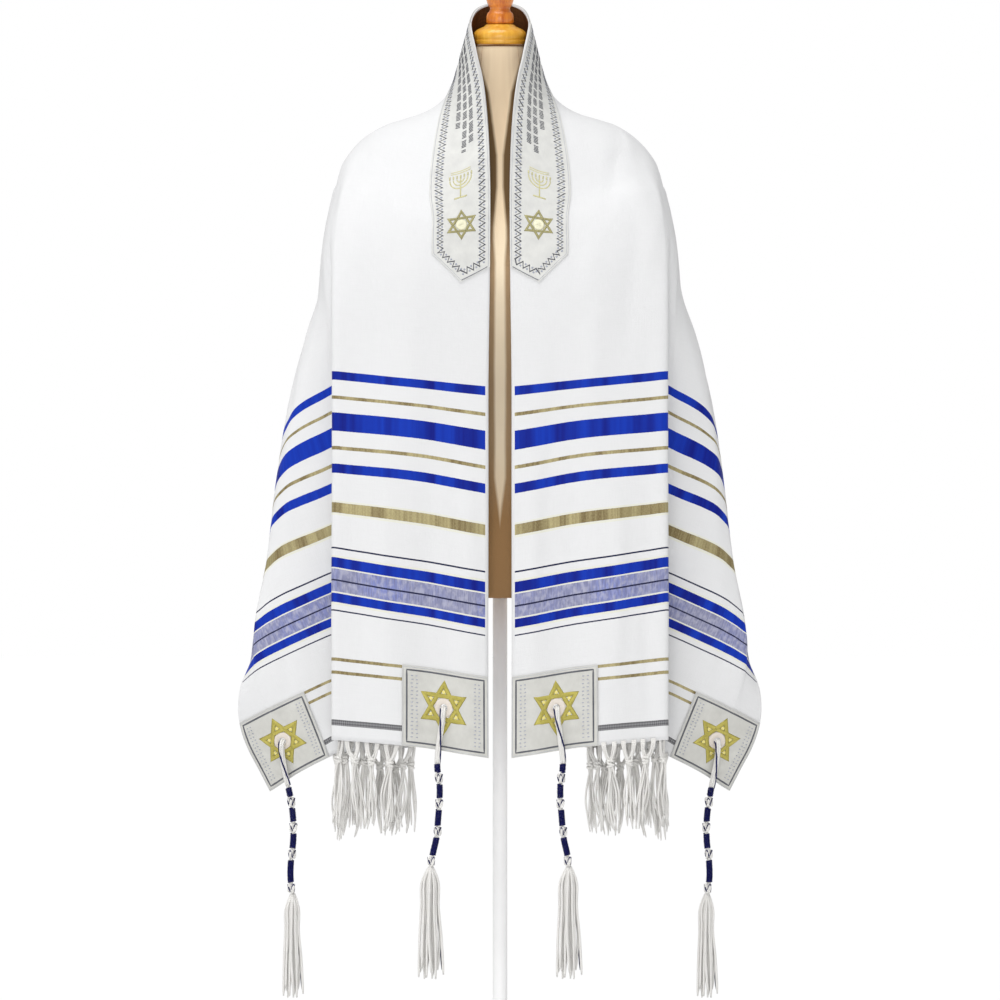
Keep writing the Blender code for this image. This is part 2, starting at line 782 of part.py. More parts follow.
def build_fringe(side_name, hem, material):
    """A narrow strip under the hem, with bunches of strands that hang together as if knotted."""
    count = FRINGE_BUNCHES * STRANDS_A_BUNCH
    line = along_line(hem, count + 1)
    points = []
    faces = []
    for i, place in enumerate(line):
        side = level(line[min(i + 1, count)] - line[max(i - 1, 0)])
        front = Vector((-side.y, side.x, 0.0)) * (CLOTH_WALL / 2)
        top = place - Vector((0, 0, SEAM_GAP))
        bottom = top - Vector((0, 0, FRINGE_STRIP))
        points += [top - front, top + front, bottom - front, bottom + front]
    for i in range(count):
        here, after = 4 * i, 4 * (i + 1)
        faces.append((here, after, after + 1, here + 1))
        faces.append((here, here + 2, after + 2, after))
        faces.append((here + 1, after + 1, after + 3, here + 3))
    faces.append((0, 1, 3, 2))
    faces.append((4 * count, 4 * count + 2, 4 * count + 3, 4 * count + 1))
    for bunch in range(FRINGE_BUNCHES):
        first = bunch * STRANDS_A_BUNCH
        start, end = line[first], line[first + STRANDS_A_BUNCH]
        side = level(end - start)
        knot = (start + end) / 2 - Vector((0, 0, FRINGE_KNOT))
        sway = math.sin(2.3 * bunch + 0.7)
        for k in range(STRANDS_A_BUNCH):
            i = first + k
            away = k - (STRANDS_A_BUNCH - 1) / 2
            root = (line[i] + line[i + 1]) / 2 - Vector((0, 0, SEAM_GAP + FRINGE_STRIP))
            root_side = level(line[i + 1] - line[i])
            length = FRINGE_LENGTH + FRINGE_UNEVEN * math.sin(1.9 * i)
            at_knot = knot + side * (away * KNOT_SPREAD)
            at_middle = at_knot + side * (away * 0.0010 + sway * 0.0020)
            at_middle.z = knot.z - (length - FRINGE_KNOT) * 0.45
            at_end = at_knot + side * (away * STRAND_SPREAD + sway * 0.0045)
            at_end.z = knot.z + FRINGE_KNOT - length
            rings = (
                strand_ring(root, root_side, STRAND_ROOT, CLOTH_WALL * 0.4),
                strand_ring(at_knot, side, STRAND_HALF, STRAND_HALF * 1.2),
                strand_ring(at_middle, side, STRAND_HALF * 0.9, STRAND_HALF * 0.9),
                strand_ring(at_end, side, STRAND_HALF, STRAND_HALF),
            )
            cell = (4 * i + 2, 4 * i + 6, 4 * i + 7, 4 * i + 3)
            grow_strand(points, faces, cell, rings)
    return closed_and_outward(new_object(f"fringe_{side_name}", points, faces, material, smooth_angle=50))


def place_on_sheet(from_hem, across):
    """The point of the sheet's middle surface at these distances over the flat cloth."""
    row = Row(from_hem)
    span = next(i for i in range(len(row.knots) - 1) if across <= row.knots[i + 1][0])
    start, end = row.knots[span][0], row.knots[span + 1][0]
    return with_folds(row.at(span, (across - start) / (end - start))[1], span)


def above_sheet(from_hem, across, lift):
    """A point this far out from the sheet."""
    step = 0.004
    along = place_on_sheet(from_hem + step, across) - place_on_sheet(max(from_hem - step, 0.0), across)
    over = place_on_sheet(from_hem, across + step) - place_on_sheet(from_hem, across - step)
    return place_on_sheet(from_hem, across) + over.cross(along).normalized() * lift


def smooth_route(places, spacing):
    """Points at this spacing along the smooth curve through these places."""
    knots = [(0.0, places[0])]
    for before, after in zip(places, places[1:]):
        knots.append((knots[-1][0] + (after - before).length, after))
    steps = math.ceil(knots[-1][0] / spacing)
    return [on_curve(knots, knots[-1][0] * i / steps) for i in range(steps + 1)]


def at_height(route, height):
    """The point where a route that runs down passes this height."""
    run = next(i for i in range(len(route) - 1) if route[i + 1].z <= height)
    share = (route[run].z - height) / (route[run].z - route[run + 1].z)
    return route[run].lerp(route[run + 1], share)


def tube_rings(stations, sides):
    """Rings of points round (centre, radius) stations, square to the line through them."""
    points = []
    last = len(stations) - 1
    for i, (centre, radius) in enumerate(stations):
        way = (stations[min(i + 1, last)][0] - stations[max(i - 1, 0)][0]).normalized()
        side = way.cross(Vector((0, 1, 0))).normalized()
        front = side.cross(way)
        for k in range(sides):
            angle = 2 * math.pi * k / sides
            points.append(centre + (side * math.cos(angle) + front * math.sin(angle)) * radius)
    return points


def flipped(points, sign):
    return [Vector((point[0] * sign, point[1], point[2])) for point in points]


def build_tassel(name, top, end_height, sign, material):
    """A tassel: a bound head with a spray of strands grown from under it."""
    across, deep = TASSEL_STRANDS
    xs = [TASSEL_CELL * (i - across / 2) for i in range(across + 1)]
    ys = [TASSEL_CELL * (j - deep / 2) for j in range(deep + 1)]
    base = top - Vector((0, 0, TASSEL_HEAD))
    points = [base + Vector((x, y, 0.0)) for y in ys for x in xs]
    corners = ((0, 0), (across, 0), (across, deep), (0, deep))
    top_ring = len(points)
    for i, j in corners:
        points.append(top + Vector((xs[i], ys[j], 0.0)) * TASSEL_NECK)

    def index(i, j):
        return j * (across + 1) + i

    sides = (
        [index(i, 0) for i in range(across + 1)],
        [index(across, j) for j in range(deep + 1)],
        [index(i, deep) for i in range(across, -1, -1)],
        [index(0, j) for j in range(deep, -1, -1)],
    )
    faces = [tuple(range(top_ring, top_ring + 4))]
    for k, run in enumerate(sides):
        faces.append((*run, top_ring + (k + 1) % 4, top_ring + k))
    length = base.z - end_height
    for j in range(deep):
        for i in range(across):
            number = j * across + i
            way = Vector((i - (across - 1) / 2, j - (deep - 1) / 2, 0.0))
            root = base + way * TASSEL_CELL
            side = Vector((1, 0, 0))
            middle = root + way * 0.0006 + Vector((0.0008 * math.sin(2.1 * number), 0, -0.45 * length))
            short = 0.05 * length * (1 + math.sin(1.7 * number))
            tip = root + way * 0.0012 + Vector((0.0016 * math.sin(1.3 * number), 0, short - length))
            rings = (
                strand_ring(root, side, STRAND_HALF, STRAND_HALF),
                strand_ring(middle, side, STRAND_HALF, STRAND_HALF),
                strand_ring(tip, side, STRAND_HALF * 0.9, STRAND_HALF * 0.9),
            )
            cell = (index(i, j), index(i + 1, j), index(i + 1, j + 1), index(i, j + 1))
            grow_strand(points, faces, cell, rings)
    return closed_and_outward(new_object(name, flipped(points, sign), faces, material, smooth_angle=50))


def wound_stations(route, cord):
    """Stations down the wound stretch of a corner cord: four windings, with a knot under each."""
    stations = []
    above = cord.windings_top - CORD_GAP
    for knot in cord.knots:
        top, bottom = knot + KNOT_HALF, knot - KNOT_HALF
        for height, radius in (
            (above, CORE_RADIUS),
            (above - WINDING_EDGE, WINDING_RADIUS),
            (top + WINDING_EDGE, WINDING_RADIUS),
            (top, CORE_RADIUS),
            (knot + KNOT_HALF / 2, KNOT_RADIUS),
            (knot - KNOT_HALF / 2, KNOT_RADIUS),
        ):
            stations.append((at_height(route, height), radius))
        above = bottom
    stations.append((at_height(route, above), CORE_RADIUS))
    return stations


def build_corner_cord(cord, side_name, sign, white, blue):
    """The cord on its patch, the wound and knotted stretch under it, and the tassel."""
    name = f"tzitzit_{cord.name}_{side_name}"
    lift = CLOTH_WALL / 2 + SEAM_GAP + PATCH_WALL + CORD_LIFT + CORD_RADIUS
    places = [above_sheet(from_hem, across, lift) for from_hem, across in cord.on_patch]
    hang_y = places[-1].y
    places += [Vector((x, hang_y, z)) for x, z in cord.hanging]
    route = smooth_route(places, 0.004)
    over_patch = smooth_route(places, 0.010)
    upper = [(place, CORD_RADIUS) for place in over_patch if place.z > cord.windings_top + 0.006]
    upper.append((at_height(route, cord.windings_top + 0.002), CORD_RADIUS))
    upper.append((at_height(route, cord.windings_top), CORE_RADIUS))
    wound = wound_stations(route, cord)
    for piece, stations, material in (("cord", upper, white), ("windings", wound, blue)):
        points = flipped(tube_rings(stations, CORD_SIDES), sign)
        ringed(f"{name}_{piece}", points, len(stations), CORD_SIDES, material, smooth_angle=60)
    tassel_top = wound[-1][0] - Vector((0, 0, CORD_GAP))
    build_tassel(f"{name}_tassel", tassel_top, cord.tassel_end, sign, white)


def turned(name, foot, profile, sides, material, centre=(0.0, 0.0)):
    """A turned piece: rings about an upright axis, closed at its foot and top."""
    points = []
    for ring in profile:
        for k in range(sides):
            angle = 2 * math.pi * k / sides
            x = centre[0] + ring.radius * math.cos(angle)
            y = centre[1] + ring.radius * math.sin(angle)
            points.append((x, y, foot + ring.height))
    return ringed(name, points, len(profile), sides, material)


def ringed(name, points, rings, sides, material, smooth_angle=40):
    """A closed object through rings of points, with flat ends."""
    faces = []
    for i in range(rings - 1):
        for k in range(sides):
            after = (k + 1) % sides
            faces.append((i * sides + k, i * sides + after, (i + 1) * sides + after, (i + 1) * sides + k))
    faces.append(tuple(reversed(range(sides))))
    faces.append(tuple((rings - 1) * sides + k for k in range(sides)))
    return closed_and_outward(new_object(name, points, faces, material, smooth_angle=smooth_angle))


def build_torso(material):
    points = []
    for section in FORM_SECTIONS:
        for k in range(FORM_SIDES):
            angle = 2 * math.pi * k / FORM_SIDES
            cosine, sine = math.cos(angle), math.sin(angle)
            power = 2 / FORM_SQUARENESS
            x = math.copysign(abs(cosine) ** power, cosine) * section.half_width
            depth = section.back if sine > 0 else section.front
            y = math.copysign(abs(sine) ** power, sine) * depth
            points.append((x, y, section.height))
    return ringed("form_torso", points, len(FORM_SECTIONS), FORM_SIDES, material, smooth_angle=50)


def build_stand(material):
    bottom = FORM_SECTIONS[0].height
    base = (
        Ring(0.0, BASE_RADIUS),
        Ring(BASE_THICKNESS - BASE_EDGE, BASE_RADIUS),
        Ring(BASE_THICKNESS, BASE_RADIUS - BASE_EDGE),
    )
    turned("stand_base", 0.0, base, ROUND_SIDES, material)
    foot = BASE_THICKNESS + STACK_GAP
    pole = (Ring(0.0, POLE_RADIUS), Ring(bottom - STACK_GAP - foot, POLE_RADIUS))
    turned("stand_pole", foot, pole, ROUND_SIDES // 3, material)


def build_form(fabric, cap_wood, finial_wood):
    torso = build_torso(fabric)
    cap_foot = FORM_SECTIONS[-1].height + STACK_GAP
    turned("form_cap", cap_foot, CAP_PROFILE, FORM_SIDES, cap_wood)
    finial_foot = cap_foot + CAP_HEIGHT + STACK_GAP
    turned("form_finial", finial_foot, FINIAL_PROFILE, FORM_SIDES // 2, finial_wood)
    return torso


def main():
    for leftover in list(bpy.data.objects):
        bpy.data.objects.remove(leftover, do_unlink=True)
    cloth = new_material("white_cloth", (0.90, 0.90, 0.91), 0.75)
    satin = new_material("satin", (0.80, 0.81, 0.79), 0.45)
    cotton = new_material("cotton_cord", (0.88, 0.86, 0.80), 0.80)
    blue = new_material("blue_thread", (0.012, 0.012, 0.12), 0.55)
    fabric = new_material("form_fabric", (0.70, 0.51, 0.33), 0.85)
    cap_wood = new_material("cap_wood", (0.88, 0.48, 0.08), 0.30)
    finial_wood = new_material("finial_wood", (0.68, 0.14, 0.03), 0.30)
    paint = new_material("white_paint", (0.88, 0.88, 0.88), 0.40)

    torso = build_form(fabric, cap_wood, finial_wood)
    build_stand(paint)
    half = half_sheet()
    rest_on(torso, half, CLOTH_WALL / 2 + REST_GAP)
    sheet = whole_sheet(half)
    normals = sheet_normals(sheet)
    build_shawl(sheet, normals, cloth)
    build_patches(sheet, normals, satin)
    build_neckband(sheet, normals, satin)
    hem = half[0][TRIM_COLUMN:OUTER_PATCH_COLUMN + 1]
    for side_name, sign in (("right", 1), ("left", -1)):
        build_fringe(side_name, flipped(hem, sign), cotton)
        for cord in CORDS:
            build_corner_cord(cord, side_name, sign, cotton, blue)


main()
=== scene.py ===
import logging
import math
from dataclasses import dataclass, field
from enum import Enum
from typing import NamedTuple, Optional, Sequence, Union

import bpy
import numpy as np
from mathutils import Matrix, Vector, noise
from mathutils.bvhtree import BVHTree


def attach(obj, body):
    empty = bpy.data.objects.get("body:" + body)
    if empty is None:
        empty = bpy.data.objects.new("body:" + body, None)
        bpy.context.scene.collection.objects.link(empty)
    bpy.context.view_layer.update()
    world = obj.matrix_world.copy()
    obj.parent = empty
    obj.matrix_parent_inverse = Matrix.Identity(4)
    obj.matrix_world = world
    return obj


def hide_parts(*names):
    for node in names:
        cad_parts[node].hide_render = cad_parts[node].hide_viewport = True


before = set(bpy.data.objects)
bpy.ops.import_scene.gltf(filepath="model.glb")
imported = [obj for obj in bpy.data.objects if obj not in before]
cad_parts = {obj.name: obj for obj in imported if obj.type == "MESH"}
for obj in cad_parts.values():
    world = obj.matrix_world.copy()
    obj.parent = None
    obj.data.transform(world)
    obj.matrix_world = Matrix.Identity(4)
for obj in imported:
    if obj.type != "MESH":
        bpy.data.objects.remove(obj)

# A striped prayer shawl with knotted corner fringes, draped over a limbless dress form on a plain stand.
# Metres, +Z up, and the front faces -Y. The origin is the centre of the stand's base, on the floor.
# A place on the cloth is given by two distances over the flat cloth: from_hem, from the right-hand hem (0)
# over the neck to the other hem (1.80), and across, from the neck edge (0) to the outer long edge (0.50).
# The side at +X is worked out and the other side is its mirror image.

LOG = logging.getLogger("shawl")
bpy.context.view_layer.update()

# The cloth and what is sewn to it, and the gaps between their layers.
SHAWL_LENGTH = 1.80
SHAWL_WIDTH = 0.50
CENTRE_BACK = SHAWL_LENGTH / 2
CLOTH_WALL = 0.0016
PATCH_WIDTH = 0.095
PATCH_HEIGHT = 0.091
PATCH_WALL = 0.0010
BAND_END = 0.554
BAND_TIP = 0.520
BAND_SHOULDER = 0.540
BAND_WIDTH = 0.064
SATIN_WALL = 0.0008
SEAM_GAP = 0.0004
SHADE_SHEET_GAP = 0.0002
REST_GAP = 0.0008

# How the draped cloth is laid on the form, and how fine it is made. COLUMN_NUDGE keeps every column's
# distance across a little over that of the one before it, also where two of them lie together.
EASE_ROUNDS = 8
EASE_SHARE = 0.5
REST_ROUNDS = 4
SETTLE_ROUNDS = 3
SETTLE_REACH = 0.05
ROW_STEP = 0.0062
COLUMN_STEP = 0.0046
COLUMN_NUDGE = 1e-7

# Strands and stitches. Below MIN_SIDE a strand's side direction is taken afresh.
MIN_SIDE = 0.05
STITCH_STEP = 0.004
FINE_WIDTH = 0.001
EDGING_WIDTH = 0.0006
GOLDEN_TURN = 2.399963
UP = Vector((0.0, 0.0, 1.0))

Piece = bpy.types.Object
Material = bpy.types.Material
Measure = tuple[float, float]
Colour = tuple[float, float, float]
Row = tuple[float, float, float]
Measured = Union[float, np.ndarray]
Rows = Sequence[np.ndarray]
Input = Union["Value", float, Sequence[float]]


class Place(NamedTuple):
    """A place on a guide line of the draped sheet: distances over the flat cloth, then where they lie."""

    from_hem: float
    across: float
    x: float
    y: float
    z: float


def guide_line(*rows: Sequence[float], across: Optional[float] = None) -> tuple[Place, ...]:
    """A guide line from the numbers of its places, without the distance across where that stays the same."""
    return tuple(Place(*row) if across is None else Place(row[0], across, *row[1:]) for row in rows)


# The neck edge: up the front, round the neck and to the centre back.
NECK_EDGE = guide_line(
    (0.0, 0.0125, -0.12, 0.466), (0.091, 0.0126, -0.1208, 0.555), (0.157, 0.0127, -0.1212, 0.613),
    (0.196, 0.0127, -0.1215, 0.654), (0.256, 0.0127, -0.1218, 0.716), (0.299, 0.0127, -0.1221, 0.762),
    (0.349, 0.0127, -0.1223, 0.815), (0.397, 0.0127, -0.1225, 0.87), (0.554, 0.011, -0.12, 1.02),
    (0.65, 0.011, -0.103, 1.117), (0.7, 0.013, -0.084, 1.163), (0.75, 0.018, -0.062, 1.21),
    (0.8, 0.0275, -0.036, 1.252), (0.85, 0.031, 0.006, 1.284), (0.875, 0.0215, 0.03, 1.296),
    (0.9, 0.0, 0.0415, 1.301),
    across=0.0,
)

# Where the patch or the neckband ends across the front.
TRIM_LINE = guide_line(
    (0.0, 0.095, 0.1072, -0.124, 0.48), (0.091, 0.095, 0.107, -0.124, 0.569),
    (0.157, 0.092, 0.104, -0.1243, 0.63), (0.196, 0.09, 0.102, -0.1245, 0.669),
    (0.256, 0.087, 0.099, -0.1248, 0.7315), (0.3, 0.085, 0.0965, -0.125, 0.778),
    (0.349, 0.081, 0.0925, -0.1249, 0.828), (0.397, 0.0768, 0.0885, -0.1246, 0.878),
    (0.554, 0.064, 0.075, -0.121, 1.021), (0.6, 0.064, 0.0745, -0.113, 1.058),
    (0.65, 0.064, 0.0725, -0.096, 1.094), (0.7, 0.064, 0.066, -0.072, 1.133),
    (0.75, 0.064, 0.058, -0.045, 1.172), (0.8, 0.064, 0.05, -0.015, 1.2),
    (0.85, 0.064, 0.043, 0.022, 1.225), (0.875, 0.064, 0.0265, 0.0445, 1.236),
    (0.9, 0.064, 0.0, 0.0545, 1.24),
)

# The front fold's crest, which runs on over the shoulder and down the back.
FOLD_CREST = guide_line(
    (0.0, 0.1845, -0.118, 0.486), (0.16, 0.1845, -0.118, 0.646), (0.3, 0.184, -0.117, 0.786),
    (0.35, 0.184, -0.1158, 0.8375), (0.4, 0.184, -0.114, 0.8905), (0.5, 0.183, -0.108, 0.984),
    (0.55, 0.181, -0.096, 1.036), (0.6, 0.174, -0.074, 1.083), (0.65, 0.16, -0.038, 1.127),
    (0.7, 0.146, 0.004, 1.15), (0.75, 0.124, 0.04, 1.15), (0.8, 0.092, 0.068, 1.136),
    (0.85, 0.048, 0.084, 1.13), (0.9, 0.0, 0.088, 1.134),
    across=0.1750,
)

# Where the sheet comes out again from behind the front panel.
FOLD_RETURN = guide_line(
    (0.0, 0.395, 0.179, -0.085, 0.471), (0.2, 0.331, 0.185, -0.085, 0.658),
    (0.3, 0.294, 0.185, -0.084, 0.764), (0.4, 0.257, 0.186, -0.084, 0.874),
    (0.5, 0.225, 0.192, -0.086, 0.97), (0.55, 0.215, 0.194, -0.074, 1.022),
    (0.6, 0.215, 0.189, -0.05, 1.058), (0.65, 0.215, 0.178, -0.009, 1.104),
    (0.7, 0.215, 0.165, 0.034, 1.126), (0.75, 0.215, 0.138, 0.064, 1.118),
    (0.8, 0.215, 0.097, 0.085, 1.098), (0.85, 0.215, 0.049, 0.096, 1.09), (0.9, 0.215, 0.0, 0.1, 1.094),
)

# The outermost stretch, as seen from the front.
SIDE_LINE = guide_line(
    (0.0, 0.45, 0.222, -0.064, 0.45), (0.091, 0.45, 0.254, -0.071, 0.522),
    (0.143, 0.453, 0.27, -0.07, 0.563), (0.19, 0.435, 0.2705, -0.067, 0.605),
    (0.257, 0.402, 0.2575, -0.065, 0.682), (0.4, 0.318, 0.227, -0.066, 0.849),
    (0.5, 0.252, 0.2, -0.066, 0.966), (0.55, 0.247, 0.196, -0.05, 1.003),
    (0.6, 0.252, 0.191, -0.027, 1.028), (0.65, 0.258, 0.188, 0.016, 1.073),
    (0.7, 0.274, 0.179, 0.062, 1.08), (0.75, 0.29, 0.148, 0.092, 1.052), (0.8, 0.295, 0.102, 0.106, 1.022),
    (0.85, 0.3, 0.0505, 0.116, 1.008), (0.9, 0.3, 0.0, 0.118, 1.012),
)

# The outer long edge, from the front corner round the side to the centre back.
OUTER_EDGE = guide_line(
    (0.0, 0.262, -0.038, 0.429), (0.091, 0.294, -0.053, 0.504), (0.143, 0.2915, -0.056, 0.548),
    (0.19, 0.2775, -0.043, 0.58), (0.257, 0.264, -0.028, 0.615), (0.4, 0.246, 0.008, 0.69),
    (0.5, 0.236, 0.042, 0.74), (0.6, 0.218, 0.078, 0.79), (0.65, 0.207, 0.103, 0.825),
    (0.7, 0.183, 0.125, 0.846), (0.75, 0.149, 0.137, 0.84), (0.8, 0.101, 0.141, 0.824),
    (0.85, 0.051, 0.142, 0.813), (0.9, 0.0, 0.142, 0.811),
    across=SHAWL_WIDTH,
)

GUIDE_LINES = (NECK_EDGE, TRIM_LINE, FOLD_CREST, FOLD_RETURN, SIDE_LINE, OUTER_EDGE)

# The numbers of three of them.
CREST = 2
RETURN = 3
SIDE = 4


class Turn(NamedTuple):
    """A place in the front fold: its share of the hidden width, how far in it lies and how far back."""

    share: float
    inward: float
    back: float


FRONT_FOLD = tuple(Turn(*row) for row in (
    (0.0, 0.0, 0.0), (0.03, 0.0, 0.15), (0.08, 0.08, 0.31), (0.26, 0.46, 0.36), (0.44, 0.9, 0.43),
    (0.5, 1.0, 0.54), (0.56, 0.9, 0.65), (0.74, 0.46, 0.76), (0.92, 0.1, 0.88), (1.0, 0.0, 1.0),
))
FOLD_SHUT_BELOW = 0.45
FOLD_OPEN_ABOVE = 0.60


class Fold(NamedTuple):
    """A soft upright fold: its bearing from the front, its width and depth, and where it fades out."""

    bearing: float
    width: float
    depth: float
    top: float
    bottom: float


FOLDS = tuple(Fold(*row) for row in (
    (14, 8, 0.003, 1.0, 0.6), (31, 7, -0.0045, 1.05, 0.62), (44, 6, 0.004, 1.03, 0.55),
    (83, 7, -0.009, 1.0, 0.66), (98, 7, 0.01, 1.02, 0.7), (112, 7, -0.012, 1.04, 0.74),
    (127, 7, 0.009, 1.08, 0.78), (141, 7, -0.011, 1.1, 0.8), (156, 8, 0.008, 1.1, 0.8),
    (170, 7, -0.007, 1.06, 0.8),
))

# Rows of the sheet, by distance from the hem, and its columns as steps between the guide lines.
ROWS = (
    0.0, 0.030, 0.060, PATCH_HEIGHT, 0.130, 0.170, 0.215, 0.260, 0.305, 0.350, 0.400, 0.445, 0.485,
    BAND_TIP, BAND_SHOULDER, BAND_END, 0.580, 0.605, 0.630, 0.655, 0.680, 0.700, 0.720, 0.740,
    0.760, 0.780, 0.800, 0.820, 0.838, 0.854, 0.868, 0.880, 0.890, CENTRE_BACK,
)
BAND_STEPS = 4
PANEL_STEPS = 4
SWING_STEPS = 4
DROP_STEPS = 6


class Side(Enum):
    """The two sides of the shawl as seen from in front, where the right one is at +X."""

    RIGHT = "right"
    LEFT = "left"

    @property
    def mirrored(self) -> bool:
        """Whether it is the mirror image of the side that is worked out."""
        return self is Side.LEFT


class Cord(NamedTuple):
    """A corner cord, from the middle of its patch down to its tassel.

    on_patch holds the places that it lies along, as distances from the hem and across the cloth, and hanging
    the (x, z) places that it hangs through; knots, the windings' top and the tassel's end are heights.
    """

    name: str
    on_patch: tuple[Measure, ...]
    hanging: tuple[Measure, ...]
    windings_top: float
    knots: tuple[float, ...]
    tassel_end: float
    tassel_half: float


CORDS = (
    Cord(
        "inner",
        ((0.0480, 0.0510), (0.0340, 0.0520), (0.0180, 0.0545), (0.0040, 0.0565)),
        (
            (0.0690, 0.4560), (0.0665, 0.4380), (0.0665, 0.4200), (0.0680, 0.4000),
            (0.0700, 0.3780), (0.0740, 0.3600), (0.0762, 0.3440),
        ),
        0.4600,
        (0.4440, 0.4160, 0.3855, 0.3530),
        0.2230,
        0.0135,
    ),
    Cord(
        "outer",
        ((0.0460, 0.4520), (0.0320, 0.4570), (0.0170, 0.4620), (0.0040, 0.4660)),
        (
            (0.2318, 0.4260), (0.2295, 0.4120), (0.2278, 0.3940), (0.2280, 0.3740),
            (0.2305, 0.3520), (0.2310, 0.3340), (0.2280, 0.3120),
        ),
        0.4330,
        (0.4170, 0.3890, 0.3595, 0.3220),
        0.2010,
        0.0105,
    ),
)


def smooth_step(low: float, high: float, value: float) -> float:
    """A smooth rise from 0 at low to 1 at high.

    Args:
        low: The value below which the result is 0.
        high: The value above which the result is 1.
        value: The value to place between them.

    Returns:
        The share of the rise, from 0 to 1.
    """
    share = min(max((value - low) / (high - low), 0.0), 1.0)
    return share * share * (3.0 - 2.0 * share)


def slopes_through(knots: np.ndarray, values: np.ndarray) -> np.ndarray:
    """The slopes, at each knot, of the smooth curve through rows of values.

    Args:
        knots: Rising distances, one for each row of values.
        values: The rows that the curve passes through.

    Returns:
        One row of slopes for each knot.
    """
    spans = np.diff(knots)[:, None]
    rises = np.diff(values, axis=0) / spans
    inner = (rises[:-1] * spans[1:] + rises[1:] * spans[:-1]) / (spans[1:] + spans[:-1])
    return np.concatenate([rises[:1], inner, rises[-1:]])


def blend(share: Measured, width: Measured, ends: Rows, slopes: Rows) -> np.ndarray:
    """A place on the smooth curve between two values.

    Args:
        share: The share of the way from one to the other.
        width: The distance from one to the other.
        ends: The two values.
        slopes: The slopes at them.

    Returns:
        The value there.
    """
    square, cube = share**2, share**3
    between = ends[0] * (2 * cube - 3 * square + 1) + ends[1] * (3 * square - 2 * cube)
    return between + (slopes[0] * (cube - 2 * square + share) + slopes[1] * (cube - square)) * width


def curve_through(knots: np.ndarray, values: np.ndarray, targets: np.ndarray) -> np.ndarray:
    """Reads a smooth curve that passes through rows of values.

    Args:
        knots: Rising distances, one for each row of values.
        values: The rows that the curve passes through.
        targets: The distances to read it at.

    Returns:
        One row for each target.
    """
    slopes = slopes_through(knots, values)
    run = np.clip(np.searchsorted(knots, targets, side="right") - 1, 0, len(knots) - 2)
    width = np.diff(knots)[run][:, None]
    share = (targets - knots[run])[:, None] / width
    return blend(share, width, (values[run], values[run + 1]), (slopes[run], slopes[run + 1]))


def read_table(table: Sequence[Sequence[float]], place: float) -> np.ndarray:
    """Reads a row off the smooth curve through a table whose first column is the place."""
    rows = np.array(table, dtype=float)
    return curve_through(rows[:, 0], rows[:, 1:], np.array([place]))[0]


def guide_place(line: Sequence[Place], from_hem: float) -> np.ndarray:
    """The distance across the cloth and the point in space where a guide line crosses a row."""
    past = [row._replace(from_hem=SHAWL_LENGTH - row.from_hem, x=-row.x) for row in line[-2:-4:-1]]
    return read_table([*line, *past], from_hem)


@dataclass
class ClothRow:
    """One row of the draped cloth, straight across it at a distance from the hem."""

    from_hem: float
    across: np.ndarray = field(init=False)
    points: np.ndarray = field(init=False)
    slopes: np.ndarray = field(init=False)
    shut: float = field(init=False)

    def __post_init__(self) -> None:
        """Finds the row's crossings with the guide lines and its direction at each."""
        found = np.array([guide_place(line, self.from_hem) for line in GUIDE_LINES])
        self.across, self.points = found[:, 0], found[:, 1:]
        self.shut = 1.0 - smooth_step(FOLD_SHUT_BELOW, FOLD_OPEN_ABOVE, self.from_hem)
        self.slopes = slopes_through(self.across, self.points)
        rises = np.diff(self.points, axis=0) / np.diff(self.across)[:, None]
        self.slopes[CREST] += (rises[CREST - 1] - self.slopes[CREST]) * self.shut
        self.slopes[RETURN] += (rises[RETURN] - self.slopes[RETURN]) * self.shut

    def at(self, span: int, share: float) -> tuple[float, np.ndarray]:
        """A place between two guide lines.

        Args:
            span: The number of the first guide line.
            share: The share of the way to the next.

        Returns:
            The distance across the cloth, and the point in space.
        """
        pair = slice(span, span + 2)
        width = self.across[span + 1] - self.across[span]
        point = blend(share, width, self.points[pair], self.slopes[pair])
        if span == CREST:
            point = point + (self.folded(share) - point) * self.shut
        return self.across[span] + width * share, point

    def folded(self, share: float) -> np.ndarray:
        """The point in the shut fold, behind the front panel, at a share of its hidden width.

        Args:
            share: The share of the way from the crest to where the cloth comes out again.

        Returns:
            The point.
        """
        start, reach = self.points[CREST], self.points[RETURN] - self.points[CREST]
        tuck = max((self.across[RETURN] - self.across[CREST] - reach[1]) / 2, 0.0)
        inward, back = read_table(FRONT_FOLD, share)
        return start + reach * (back, back, share) - (tuck * inward, 0.0, 0.0)

    def steps(self) -> list[tuple[int, float]]:
        """The columns of the net on this row.

        Returns:
            For each column its span between guide lines and the share of the way along it.
        """
        steps = [(0, i / BAND_STEPS) for i in range(BAND_STEPS)]
        steps += [(1, i / PANEL_STEPS) for i in range(PANEL_STEPS)]
        steps += [(CREST, turn.share) for turn in FRONT_FOLD[:-1]]
        swing = self.across[SIDE] - self.across[RETURN]
        patch_side = (SHAWL_WIDTH - PATCH_WIDTH - self.across[RETURN]) / swing
        leave_patch = smooth_step(PATCH_HEIGHT, PATCH_HEIGHT * 3, self.from_hem)
        first = patch_side + (1 / SWING_STEPS - patch_side) * leave_patch
        steps += [(RETURN, 0.0)]
        steps += [(RETURN, first + (1 - first) * i / (SWING_STEPS - 1)) for i in range(SWING_STEPS - 1)]
        return steps + [(SIDE, i / DROP_STEPS) for i in range(DROP_STEPS + 1)]


